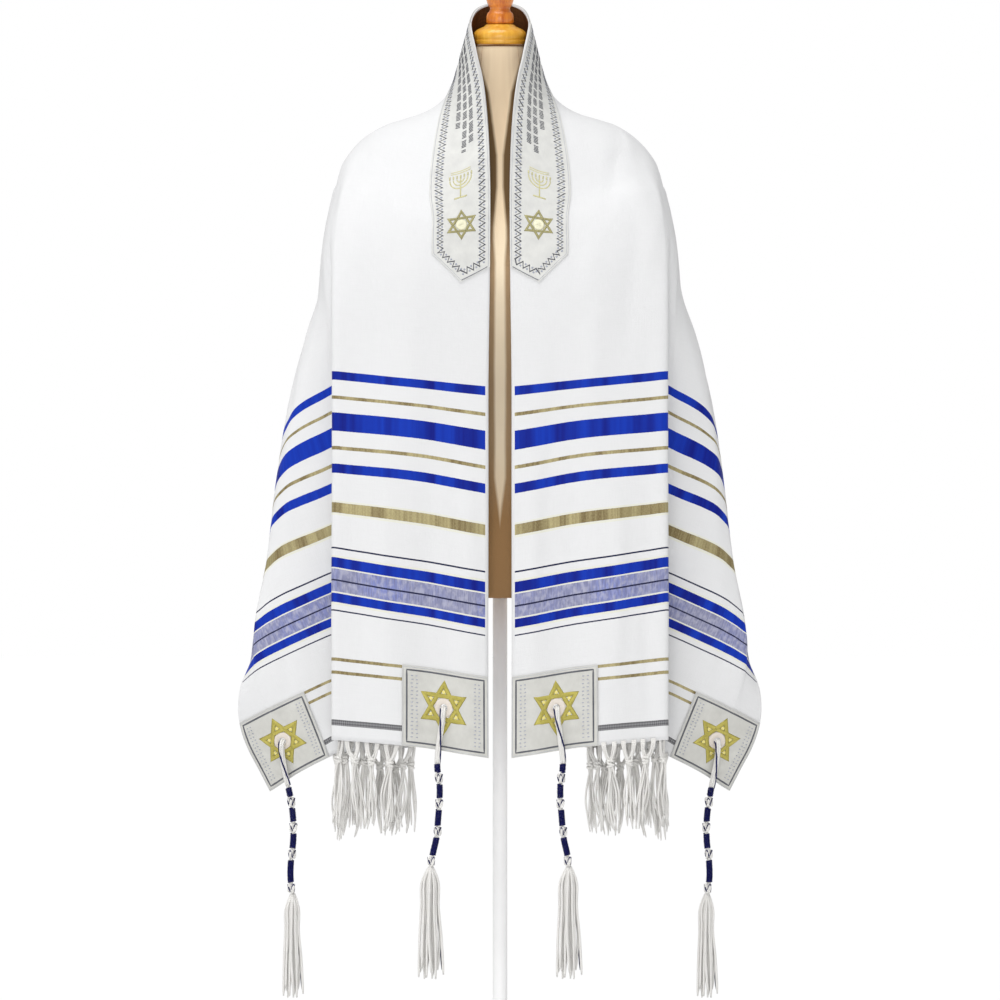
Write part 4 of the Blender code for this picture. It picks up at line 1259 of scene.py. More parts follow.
@dataclass(frozen=True)
class Surface:
    """A finish of one colour and a second one that it drifts to, with a shared effect on it."""

    name: str
    light: Colour
    dark: Colour
    effect: Effect
    roughness: float = 0.8
    metallic: float = 0.0
    sheen: float = 0.0
    relief: float = 0.0002
    gloss: float = 0.3

    def make(self) -> Material:
        """Makes the finish, whose pattern follows the piece's own measures.

        Returns:
            The material.
        """
        finish = Finish(self.name, {
            "Roughness": self.roughness, "Metallic": self.metallic, "Sheen Weight": self.sheen,
            "Specular IOR Level": self.gloss,
        })
        place = finish.measured()
        height, tone = self.effect.on(finish, place)
        drift = finish.spread(finish.noise(place, (60.0, 60.0, 1.0)), 0.3, 0.7, -0.25, 0.25)
        finish.set({"Base Color": finish.mix(tone + drift, self.dark, self.light)})
        return finish.bump(height, self.relief)


@dataclass(frozen=True)
class FormCover:
    """The beige stretch cover of the form, a fine knit, with painted light on the strip between the two
    fronts and painted shade beyond it, at its sides and at the back, for the shadow that the fronts cast.

    lit_strip_widths lists heights between which the half-width of the painted lit strip grows, and by how
    much.
    """

    light: Colour = (0.865, 0.70, 0.49)
    dark: Colour = (0.775, 0.605, 0.41)
    # Painted light for the strip at the waist; painted shade beyond the strip low down, at the waist and at
    # the chest.
    waist_painted_light: Colour = (0.99, 0.84, 0.62)
    low_painted_shade: Colour = (0.34, 0.195, 0.085)
    waist_painted_shade: Colour = (0.45, 0.305, 0.175)
    chest_painted_shade: Colour = (0.140, 0.085, 0.038)
    hip_heights: Measure = (0.73, 0.82)
    waist_heights: Measure = (1.00, 1.07)
    lit_strip_start: float = -0.0022
    lit_strip_widths: tuple[tuple[float, float, float], ...] = (
        (0.712, 0.775, 0.0074), (1.010, 1.036, 0.0016), (1.050, 1.095, -0.0036), (1.130, 1.200, 0.0090),
        (1.200, 1.253, 0.0160),
    )

    def make(self) -> Material:
        """Makes the finish, whose knit follows the cover's own measures.

        Returns:
            The material.
        """
        finish = Finish("form_cover", {"Roughness": 0.9, "Specular IOR Level": 0.15})
        place = finish.measured()
        around, up, _ = finish.split(place)
        loops = finish.wave(around, 0.0014) * finish.wave(up, 0.0019)
        knit = loops * 0.2 + finish.noise(place, (70.0, 6.0, 1.0), 3.0)
        x, y, z = finish.split(finish.in_space())
        wavy = (finish.noise(place, (4.0, 9.0, 1.0)) - 0.5) * 0.003
        # The painted lit strip: how far a point lies from the middle, pushed out at the back so that the back
        # takes painted shade.
        from_middle = finish.math("ABSOLUTE", x) + wavy + finish.spread(y, -0.02, 0.01, 0.0, 0.05)
        half_width: Input = self.lit_strip_start
        for low, high, rise in self.lit_strip_widths:
            half_width = finish.math("ADD", half_width, finish.spread(z, low, high, 0.0, rise))
        above_hip, above_waist = finish.spread(z, *self.hip_heights), finish.spread(z, *self.waist_heights)
        colour = finish.mix(finish.spread(knit, 0.2, 0.8), self.dark, self.light)
        # Painted light: the strip is lighter between the hip and the waist.
        colour = finish.mix(above_hip - above_waist, colour, self.waist_painted_light)
        # Painted shade beyond the strip: lighter at the waist, darkest at the chest.
        low_shaded_sides = finish.mix(above_hip, self.low_painted_shade, self.waist_painted_shade)
        sides = finish.mix(above_waist, low_shaded_sides, self.chest_painted_shade)
        past_lit_strip = finish.spread(from_middle - half_width, -0.0014, 0.0020)
        finish.set({"Base Color": finish.mix(past_lit_strip, colour, sides)})
        return finish.bump(knit, 0.0005, 0.6)


@dataclass(frozen=True)
class TurnedWood:
    """Varnished turned wood, with its grain and the faint rings that the tool leaves."""

    name: str
    light: Colour
    dark: Colour

    def make(self) -> Material:
        """Makes the finish, whose grain runs up the part.

        Returns:
            The material.
        """
        finish = Finish(self.name, {"Coat Weight": 0.45, "Coat Roughness": 0.12, "Specular IOR Level": 0.3})
        place = finish.in_space()
        fine = finish.noise(place, (900.0, 900.0, 90.0))
        figure = finish.noise(place, (150.0, 150.0, 18.0), 4.0) * 0.8 + fine * 0.2
        finish.set({
            "Base Color": finish.mix(finish.spread(figure, 0.35, 0.65), self.dark, self.light),
            "Roughness": finish.spread(fine, 0.3, 0.7, 0.28, 0.42),
        })
        return finish.bump(finish.noise(place, (6.0, 6.0, 1300.0), 1.0), 0.00012, 0.5)


@dataclass(frozen=True)
class StandPaint:
    """White powder coat on the pole and base, slightly orange-peeled and duller where it is handled."""

    colour: Colour = (0.94, 0.94, 0.94)
    rubbed: Colour = (0.8836, 0.8836, 0.8836)

    def make(self) -> Material:
        """Makes the finish in the part's own space.

        Returns:
            The material.
        """
        finish = Finish("stand_paint", {})
        place = finish.in_space()
        rubs = finish.noise(place, (22.0, 22.0, 9.0), 4.0)
        finish.set({
            "Base Color": finish.mix(finish.spread(rubs, 0.45, 0.75), self.colour, self.rubbed),
            "Roughness": finish.spread(rubs, 0.3, 0.7, 0.34, 0.50),
        })
        return finish.bump(finish.noise(place, (420.0, 420.0, 420.0)), 0.0001, 0.4)


@dataclass(frozen=True)
class EyeletSteel:
    """Bright worn steel of the eyelets."""

    dull: Colour = (0.55, 0.55, 0.56)
    bright: Colour = (0.75, 0.75, 0.76)

    def make(self) -> Material:
        """Makes the finish in the part's own space.

        Returns:
            The material.
        """
        finish = Finish("eyelet_steel", {"Metallic": 1.0})
        place = finish.in_space()
        finish.set({
            "Base Color": finish.mix(finish.noise(place, (900.0,) * 3), self.dull, self.bright),
            "Roughness": finish.spread(finish.noise(place, (1500.0,) * 3), 0.3, 0.7, 0.22, 0.4),
        })
        return finish.material


class Thread(Enum):
    """The embroidery threads, each with its number on a stitched piece, two tones, roughness and metal."""

    SLATE = (0, (0.15, 0.155, 0.175), (0.07, 0.073, 0.088), 0.55, 0.0)
    SILVER = (1, (0.62, 0.63, 0.66), (0.42, 0.43, 0.48), 0.4, 0.3)
    GOLD = (2, (0.60, 0.53, 0.135), (0.31, 0.265, 0.05), 0.38, 0.40)
    OLD_GOLD = (3, (0.46, 0.42, 0.20), (0.26, 0.24, 0.12), 0.42, 0.35)
    PALE_GOLD = (4, (0.74, 0.70, 0.38), (0.55, 0.52, 0.27), 0.42, 0.15)
    CREAM = (5, (0.88, 0.86, 0.66), (0.76, 0.73, 0.52), 0.55, 0.0)
    GREY = (6, (0.46, 0.48, 0.56), (0.33, 0.35, 0.43), 0.5, 0.0)
    YELLOW = (7, (0.88, 0.80, 0.32), (0.78, 0.68, 0.21), 0.45, 0.0)
    IVORY = (8, (0.80, 0.74, 0.67), (0.70, 0.63, 0.56), 0.55, 0.0)

    @property
    def number(self) -> int:
        """Its number on a stitched piece."""
        return self.value[0]

    def make(self) -> Material:
        """Makes its finish.

        Returns:
            The material.
        """
        _, light, dark, roughness, metallic = self.value
        name = f"thread_{self.name.lower()}"
        return Surface(name, light, dark, Effect.STITCH, roughness, metallic, relief=0.00012).make()


# The satins, the yarns, the seam thread, and the dark brown cotton of the neck piping and of the sheet of
# painted shade inside the collar, in the order that main takes them.
FABRICS = (
    Surface("silver_satin", (0.695, 0.695, 0.665), (0.56, 0.56, 0.545), Effect.SATIN, 0.42, 0.0, 0.1, 1.8e-4),
    Surface("patch_satin", (0.625, 0.622, 0.585), (0.50, 0.495, 0.465), Effect.SATIN, 0.42, 0.0, 0.1, 2e-4),
    Surface("white_yarn", (0.88, 0.872, 0.85), (0.78, 0.765, 0.735), Effect.PLY, 0.85, 0.0, 0.15, 4e-4, 0.15),
    Surface("navy_yarn", (0.005, 0.007, 0.12), (0.002, 0.003, 0.04), Effect.PLY, 0.6, 0.0, 0.0, 3e-4, 0.15),
    Surface("seam_thread", (0.62, 0.44, 0.29), (0.45, 0.31, 0.19), Effect.PLY, 0.85),
    Surface("dark_brown_cotton", (0.16, 0.070, 0.026), (0.09, 0.036, 0.013), Effect.WEAVE, 0.9, gloss=0.1),
)


def inset(outline: Sequence[Measure], distance: float) -> list[Measure]:
    """An outline moved in by the same distance all round.

    Args:
        outline: The corners of a convex outline, in order, anticlockwise.
        distance: How far in.

    Returns:
        The corners of the smaller outline.
    """
    corners = [Vector(corner) for corner in outline]
    lines = []
    for here, after in zip(corners, corners[1:] + corners[:1]):
        way = (after - here).normalized()
        lines.append((here + Vector((-way.y, way.x)) * distance, way))
    found = []
    for (first, way), (second, other) in zip(lines[-1:] + lines[:-1], lines):
        share = (second - first).cross(other) / way.cross(other)
        found.append(tuple(first + way * share))
    return found


def along_outline(corners: Sequence[Measure], step: float) -> list[tuple[Vector, Vector]]:
    """Even places round a closed outline.

    Args:
        corners: Its corners, in order.
        step: About how far apart.

    Returns:
        Each place, with the direction square to the outline there.
    """
    places = []
    for here, after in zip(corners, [*corners[1:], corners[0]]):
        start, run = Vector(here), Vector(after) - Vector(here)
        count = max(1, round(run.length / step))
        side = Vector((-run.y, run.x)).normalized()
        places += [(start + run * (i / count), side) for i in range(count)]
    return places


def round_places(centre: Measure, radius: float, count: int, start: float = 0.0) -> list[Measure]:
    """Even places round a centre, from the one straight on up the cloth.

    Args:
        centre: The centre.
        radius: How far they lie from it.
        count: How many.
        start: The first one's angle.

    Returns:
        The places.
    """
    turns = [start + 2 * math.pi * k / count for k in range(count)]
    return [(centre[0] + radius * math.sin(turn), centre[1] + radius * math.cos(turn)) for turn in turns]


@dataclass
class Embroiderer:
    """Lays lines of embroidery on the cloth, as raised threads on a piece that is sewn to it."""

    cloth: DrapedCloth
    lift: float
    mirrored: bool
    stock: Stock = field(default_factory=Stock)

    def spot(self, place: Sequence[float], raise_by: float = 0.0) -> tuple[Vector, Vector]:
        """The point over a place on the cloth, and the outward direction.

        Args:
            place: The distances across the cloth and from this side's hem.
            raise_by: How far above the piece.

        Returns:
            The point and the direction.
        """
        return self.cloth.place(place[1], place[0], self.lift + raise_by, self.mirrored)

    def line(
        self,
        places: Sequence[Sequence[float]],
        width: Union[float, Sequence[float]],
        thread: Thread,
        loop: bool = False,
        tall: float = 0.0003,
        sides: int = 6,
    ) -> None:
        """A line of stitching.

        Args:
            places: The places it runs through, across and from the hem.
            width: Its width, or one for each place.
            thread: Its thread.
            loop: Whether it closes on itself.
            tall: How far it stands up.
            sides: The faces round it.
        """
        path, ways = zip(*(self.spot(place) for place in places))
        half = [each / 2 for each in width] if isinstance(width, Sequence) else width / 2
        self.stock.strand(path, half, sides, half_height=tall, ways=ways, loop=loop, finish=thread.number)

    def straight(self, start: Measure, end: Measure, width: float, thread: Thread) -> None:
        """A straight line of stitching between two places.

        Args:
            start: The first place.
            end: The last place.
            width: Its width.
            thread: Its thread.
        """
        first, last = Vector(start), Vector(end)
        count = max(1, math.ceil((last - first).length / STITCH_STEP))
        self.line([first.lerp(last, i / count) for i in range(count + 1)], width, thread, sides=4)

    def ring(
        self, corners: Sequence[Measure], distance: float, step: float, width: float, thread: Thread,
    ) -> None:
        """A line of stitching round an outline.

        Args:
            corners: The outline's corners, anticlockwise.
            distance: How far inside it.
            step: About how far apart its points are.
            width: Its width.
            thread: Its thread.
        """
        places = [place for place, _ in along_outline(inset(corners, distance), step)]
        fine = width < FINE_WIDTH
        self.line(places, width, thread, loop=True, tall=0.0002 if fine else 0.0003, sides=4 if fine else 6)

    def star(self, centre: Measure, radius: float, bar: float, step: float, thread: Thread) -> None:
        """A six-pointed star of two crossed triangles of satin stitch, mitred at its points.

        Args:
            centre: Its middle.
            radius: How far its points reach.
            bar: The width of its bars.
            step: About how far apart the points of a bar are.
            thread: Its thread.
        """
        for start in (0.0, math.pi):
            triangle = round_places(centre, radius - bar, 3, start)
            places = [place for place, _ in along_outline(triangle, step)]
            side = len(places) // 3
            widths = [bar if k % side else 2 * bar for k in range(len(places))]
            self.line(places, widths, thread, loop=True, tall=0.0005)

    def disc(self, centre: Measure, inner: float, outer: float, thread: Thread) -> None:
        """A round of radial stitches, open in the middle where inner is more than 0."""
        places = round_places(centre, (inner + outer) / 2, 24)
        self.line(places, outer - inner, thread, loop=True, tall=0.0004)


@dataclass
class PrayerShawl:
    """The striped cloth itself."""

    cloth: DrapedCloth
    wall: float = 0.0012

    def build(self) -> Piece:
        """Makes the draped sheet with its wall.

        Returns:
            The sheet.
        """
        stock = Stock()
        rows = [[Vector(point) for point in row[::-1]] for row in self.cloth.points]
        measures = [
            [(float(across), float(from_hem)) for across in row[::-1]]
            for row, from_hem in zip(self.cloth.across, self.cloth.from_hem)
        ]
        stock.net(rows, measures)
        sheet = stock.piece("shawl_cloth", ShawlCloth().make())
        thicken(sheet, self.wall)
        sheet.data.shade_smooth()
        return declare(sheet, "shawl")


@dataclass
class SewnPanel:
    """A flat piece of satin sewn on the cloth, between two long sides given by their places."""

    cloth: DrapedCloth
    name: str
    wall: float
    mirrored: bool = False
    inside: bool = False

    @property
    def top(self) -> float:
        """How far its face stands out from the middle of the cloth."""
        return CLOTH_WALL / 2 + SEAM_GAP + self.wall

    @property
    def middle(self) -> float:
        """How far out from the middle of the cloth its own middle lies, which is less than nothing inside."""
        return -(CLOTH_WALL + self.wall + SHADE_SHEET_GAP) / 2 if self.inside else self.top - self.wall / 2

    def build(self, rows: Sequence[Row], columns: int, material: Material) -> Piece:
        """Makes the panel.

        Args:
            rows: For each row its distance from the hem and where it starts and ends across the cloth.
            columns: The faces across it.
            material: Its finish.

        Returns:
            The panel with its wall.
        """
        stock = Stock()
        points, measures = [], []
        for from_hem, start, end in rows:
            overs = [end + (start - end) * j / columns for j in range(columns + 1)]
            points.append([self.cloth.place(from_hem, over, self.middle, self.mirrored)[0] for over in overs])
            measures.append([(over, from_hem) for over in overs])
        if self.mirrored:
            points, measures = points[::-1], measures[::-1]
        stock.net(points, measures)
        panel = stock.piece(self.name, material)
        thicken(panel, self.wall)
        only(panel)
        bpy.ops.object.shade_smooth_by_angle(angle=math.radians(50))
        return panel


@dataclass
class Neckband:
    """The satin neckband with pointed ends, its stitched border, stars, lampstands and rows of bars.

    bar_rows says how far across each row of bars lies, where it starts, and how many bars make a group.
    """

    cloth: DrapedCloth
    satin: Material
    threads: Sequence[Material]
    star_at: Measure = (0.0315, 0.590)
    lamp_at: Measure = (0.0325, 0.640)
    shade_sheet_ends: Measure = (0.775, SHAWL_LENGTH - 0.775)
    shade_sheet_width: float = 0.056
    star_radius: float = 0.0186
    star_bar: float = 0.0026
    star_round: Measure = (-0.0003, 0.0066)
    edging_inset: float = 0.0018
    zigzag_inset: float = 0.0090
    zigzag_half: float = 0.0034
    zigzag_width: float = 0.0021
    seed_offset: float = 0.0021
    seed_half: float = 0.0010
    seed_width: float = 0.0019
    branches: Row = (0.0040, 0.0080, 0.0120)
    bar_rows: Sequence[Row] = ((0.0215, 0.690, 7), (0.0305, 0.683, 5), (0.0395, 0.716, 6))
    bar_pitches: Measure = (0.0019, 0.0044)

    def outline(self) -> list[Measure]:
        """The band's flat corners, across and from the hem, anticlockwise."""
        far = [(over, SHAWL_LENGTH - from_hem) for over, from_hem in self.end()]
        return [*self.end(), *far[::-1]]

    def end(self) -> list[Measure]:
        """The three corners of its pointed end."""
        return [(0.0, BAND_SHOULDER), (BAND_WIDTH / 2, BAND_TIP), (BAND_WIDTH, BAND_END)]

    def rows(self) -> list[Row]:
        """The rows of the band from one tip to the other.

        Returns:
            For each row its distance from the hem and where it starts and ends across the cloth.
        """
        first = []
        for i in range(13):
            from_hem = BAND_TIP + (BAND_END - BAND_TIP) * i / 12
            start = max(0.0, BAND_WIDTH / 2 * (BAND_SHOULDER - from_hem) / (BAND_SHOULDER - BAND_TIP))
            end = BAND_WIDTH / 2 * (1 + (from_hem - BAND_TIP) / (BAND_END - BAND_TIP))
            if i == 0:
                start, end = start - 0.0004, end + 0.0004
            first.append((from_hem, start, end))
        middle = finer([BAND_END, SHAWL_LENGTH - BAND_END], 0.005)[1:-1]
        far = [(SHAWL_LENGTH - from_hem, start, end) for from_hem, start, end in first[::-1]]
        return first + [(float(from_hem), 0.0, BAND_WIDTH) for from_hem in middle] + far

    def build(self) -> list[Piece]:
        """Makes the band and its embroidery.

        Returns:
            The two pieces.
        """
        panel = SewnPanel(self.cloth, "neckband_satin", SATIN_WALL)
        band = declare(panel.build(self.rows(), 18, self.satin), "neckband")
        work = Embroiderer(self.cloth, panel.top, False)
        self.stitch_border(work)
        for mirrored in (False, True):
            work.mirrored = mirrored
            self.stitch_star(work)
            self.stitch_lampstand(work)
            # A slate line along the inner edge of each pointed end: the painted shadow of the band's free tip
            # on the cloth.
            shadow_tip = (BAND_WIDTH / 2 - 0.0010, BAND_TIP + 0.0022)
            work.straight((0.0030, BAND_SHOULDER), shadow_tip, 0.0010, Thread.SLATE)
        work.mirrored = False
        self.stitch_bars(work)
        return [band, declare(work.stock.piece("neckband_embroidery", *self.threads))]

    def build_shade_sheet(self, cotton: Material) -> Piece:
        """Makes a dark brown cotton sheet inside the back of the neck, as painted shade for the shadow inside
        the collar.

        Args:
            cotton: Its finish.

        Returns:
            The sheet with its wall.
        """
        # Dark brown cotton laid in the shadow inside the collar: painted shade.
        brown_cotton = SewnPanel(self.cloth, "neck_shade_sheet", 0.0005, inside=True)
        start, end = self.shade_sheet_ends
        rows = [(float(row), 0.0022, self.shade_sheet_width) for row in finer([start, end], 0.005)]
        return declare(brown_cotton.build(rows, 12, cotton))

    def stitch_border(self, work: Embroiderer) -> None:
        """Stitches the zigzag, its seeds and the thin edging line round the band.

        Args:
            work: The embroiderer.
        """
        places = along_outline(inset(self.outline(), self.zigzag_inset), STITCH_STEP)
        signs = [1 if i % 2 else -1 for i in range(len(places))]
        zigzag = [place + side * (sign * self.zigzag_half) for (place, side), sign in zip(places, signs)]
        work.line(zigzag, self.zigzag_width, Thread.SLATE, loop=True, sides=4)
        for (place, side), sign in zip(places, signs):
            seed, half = place - side * (sign * self.seed_offset), side * self.seed_half
            work.line([seed - half, seed + half], self.seed_width, Thread.GREY, sides=4)
        work.ring(self.outline(), self.edging_inset, 0.006, EDGING_WIDTH, Thread.SILVER)

    def stitch_star(self, work: Embroiderer) -> None:
        """Stitches the star and the pale round in its middle."""
        work.star(self.star_at, self.star_radius, self.star_bar, 0.003, Thread.OLD_GOLD)
        work.disc(self.star_at, *self.star_round, Thread.CREAM)

    def stitch_lampstand(self, work: Embroiderer) -> None:
        """Stitches a plain seven-branched lampstand.

        Args:
            work: The embroiderer.
        """
        over, from_hem = self.lamp_at

        def bar(first: Measure, last: Measure, width: float) -> None:
            """Stitches a bar between two places, given from the lampstand's middle."""
            start, end = ((over + place[0], from_hem + place[1]) for place in (first, last))
            work.straight(start, end, width, Thread.PALE_GOLD)

        bar((0.0, -0.015), (0.0, 0.012), 0.0014)
        bar((-0.007, -0.015), (0.007, -0.015), 0.0017)
        for reach in self.branches:
            turns = [math.pi * k / 12 for k in range(13)]
            arc = [(over + reach * math.cos(t), from_hem + 0.009 - reach * math.sin(t)) for t in turns]
            work.line(arc, 0.0013, Thread.PALE_GOLD, sides=4)
        for k in range(-3, 4):
            bar((0.0040 * k, 0.0100), (0.0040 * k, 0.0140), 0.0017)
        for row in (0.0168, 0.0192):
            bar((-0.011, row), (0.011, row), 0.0010)

    def stitch_bars(self, work: Embroiderer) -> None:
        """Stitches three rows of plain cross bars round the neck, in groups, like rungs of a ladder.

        Args:
            work: The embroiderer.
        """
        for over, start, group in self.bar_rows:
            from_hem, k = start, 0
            while from_hem < SHAWL_LENGTH - start:
                half = 0.0027 + 0.0003 * math.sin(1.7 * k)
                work.straight((over - half, from_hem), (over + half, from_hem), 0.0012, Thread.SLATE)
                from_hem += self.bar_pitches[(k + 1) % group == 0]
                k += 1


class HemCorner(Enum):
    """The corners of each hem, with where the patch starts across the cloth and the middle of its star."""

    INNER = ("inner", 0.0, (0.0505, 0.0480))
    OUTER = ("outer", SHAWL_WIDTH - PATCH_WIDTH, (0.4525, 0.0455))


@dataclass
class CornerPatch:
    """A satin patch that strengthens a corner, with its border, star and eyelet.

    star_round and seed_round give the inner and outer radius of a round, and columns how far in from each
    side a column of small stitches lies.
    """

    cloth: DrapedCloth
    corner: HemCorner
    side: Side
    satin: Material
    threads: Sequence[Material]
    steel: Material
    star_radius: float = 0.0312
    star_bar: float = 0.0050
    star_round: Measure = (0.0030, 0.0112)
    seed_radius: float = 0.0175
    seed_round: Measure = (-0.0001, 0.0021)
    line_inset: float = 0.0050
    line_width: float = 0.0019
    edging_inset: float = 0.0014
    columns: Measure = (0.0100, 0.0145)
    column_foot: float = 0.011
    column_pitch: float = 0.0043
    column_stitches: int = 17
    stitch_half: float = 0.0009
    eyelet_radius: float = 0.0033
    eyelet_wire: float = 0.0008
    eyelet_flatness: float = 0.7

    def build(self) -> list[Piece]:
        """Makes the patch, its embroidery and its eyelet.

        Returns:
            The three pieces.
        """
        place, start, middle = self.corner.value
        name = f"patch_{place}_{self.side.value}"
        panel = SewnPanel(self.cloth, f"{name}_satin", SATIN_WALL, self.side.mirrored)
        rows = [(PATCH_HEIGHT * i / 22, start + 0.0006, start + PATCH_WIDTH - 0.0006) for i in range(23)]
        patch = declare(panel.build(rows, 24, self.satin), name)
        work = Embroiderer(self.cloth, panel.top, self.side.mirrored)
        self.stitch_border(work, start)
        work.star(middle, self.star_radius, self.star_bar, 0.005, Thread.GOLD)
        for seed in round_places(middle, self.seed_radius, 6):
            work.disc(seed, *self.seed_round, Thread.YELLOW)
        work.disc(middle, *self.star_round, Thread.IVORY)
        stitched = declare(work.stock.piece(f"{name}_embroidery", *self.threads))
        return [patch, stitched, self.build_eyelet(work, middle, f"{name}_eyelet")]

    def stitch_border(self, work: Embroiderer, start: float) -> None:
        """Stitches the dark line round the patch, its edging, and the columns of small stitches.

        Args:
            work: The embroiderer.
            start: Where the patch starts across the cloth.
        """
        end = start + PATCH_WIDTH
        corners = [(start, 0.0), (end, 0.0), (end, PATCH_HEIGHT), (start, PATCH_HEIGHT)]
        work.ring(corners, self.line_inset, 0.005, self.line_width, Thread.SLATE)
        work.ring(corners, self.edging_inset, 0.005, EDGING_WIDTH, Thread.SILVER)
        for offset in (*self.columns, *(PATCH_WIDTH - column for column in self.columns[::-1])):
            for k in range(self.column_stitches):
                from_hem = self.column_foot + self.column_pitch * k
                over, half = start + offset + 0.0004 * math.sin(2.3 * k + offset * 900), self.stitch_half
                work.straight((over - half, from_hem), (over + half, from_hem), 0.0011, Thread.GREY)

    def build_eyelet(self, work: Embroiderer, middle: Measure, name: str) -> Piece:
        """Models the small metal eyelet that the cord comes out of.

        Args:
            work: The embroiderer, which knows where the face of the patch is.
            middle: The eyelet's place over the cloth.
            name: The piece's name.

        Returns:
            The eyelet.
        """
        point, way = work.spot(middle, 0.0004)
        bpy.ops.object.select_all(action="DESELECT")
        turn = way.to_track_quat("Z", "Y").to_euler()
        bpy.ops.mesh.primitive_torus_add(
            major_segments=32, minor_segments=10, major_radius=self.eyelet_radius,
            minor_radius=self.eyelet_wire, location=point, rotation=turn,
        )
        eyelet = bpy.context.object
        eyelet.name = name
        edit_all()
        flatter = (1.0, 1.0, self.eyelet_flatness)
        bpy.ops.transform.resize(value=flatter, orient_type="LOCAL", center_override=point)
        bpy.ops.object.mode_set(mode="OBJECT")
        bpy.ops.object.transform_apply(location=True, rotation=True, scale=True)
        bpy.ops.object.shade_smooth()
        eyelet.data.materials.append(self.steel)
        return declare(eyelet)


def smooth_route(places: Sequence[Vector], step: float) -> list[Vector]:
    """Points at about this step along the smooth curve through some places.

    Args:
        places: The places.
        step: The distance between points.

    Returns:
        The points.
    """
    values = np.array(places)
    knots = np.concatenate([[0.0], np.cumsum(np.linalg.norm(np.diff(values, axis=0), axis=1))])
    count = math.ceil(knots[-1] / step)
    return [Vector(point) for point in curve_through(knots, values, np.linspace(0, knots[-1], count + 1))]


def stretch_of(route: Sequence[Vector], top: float, bottom: float, step: float) -> list[Vector]:
    """The part of a route that runs down from one height to another, at even steps.

    Args:
        route: The route, which runs down.
        top: The height that the part starts at.
        bottom: The height that it ends at.
        step: About how far apart its points are in height.

    Returns:
        The part's points.
    """
    heights = np.array([point.z for point in route])[::-1]
    values = np.array(route)[::-1]
    count = max(2, math.ceil((top - bottom) / step))
    wanted = np.linspace(top, bottom, count + 1)
    return [Vector([np.interp(z, heights, values[:, axis]) for axis in range(3)]) for z in wanted]


def beside(route: Sequence[Vector], offset: float, start: float, twist: float) -> list[Vector]:
    """A path that winds round a route.

    Args:
        route: The route.
        offset: How far from it.
        start: The angle that it starts at.
        twist: The turns for each metre.

    Returns:
        The path's points.
    """
    found, side, reach = [], Vector((1.0, 0.0, 0.0)), 0.0
    last = len(route) - 1
    for i, middle in enumerate(route):
        along = (route[min(i + 1, last)] - route[max(i - 1, 0)]).normalized()
        side = (side - along * side.dot(along)).normalized()
        reach += (middle - route[i - 1]).length if i else 0.0
        turn = start + 2 * math.pi * twist * reach
        found.append(middle + (side * math.cos(turn) + along.cross(side) * math.sin(turn)) * offset)
    return found


def binding(centre: Vector, side: Vector, front: Vector, tilt: float, start: float = 0.0) -> list[Vector]:
    """One turn of yarn that binds a bunch.

    Args:
        centre: Its middle.
        side: How far it reaches to the side.
        front: How far it reaches to the front.
        tilt: How far it rises and falls.
        start: The angle that its rise starts at.

    Returns:
        The points of its closed path.
    """
    turns = [2 * math.pi * k / 14 for k in range(14)]
    return [
        centre + side * math.cos(turn) + front * math.sin(turn) + UP * (tilt * math.sin(turn + start))
        for turn in turns
    ]


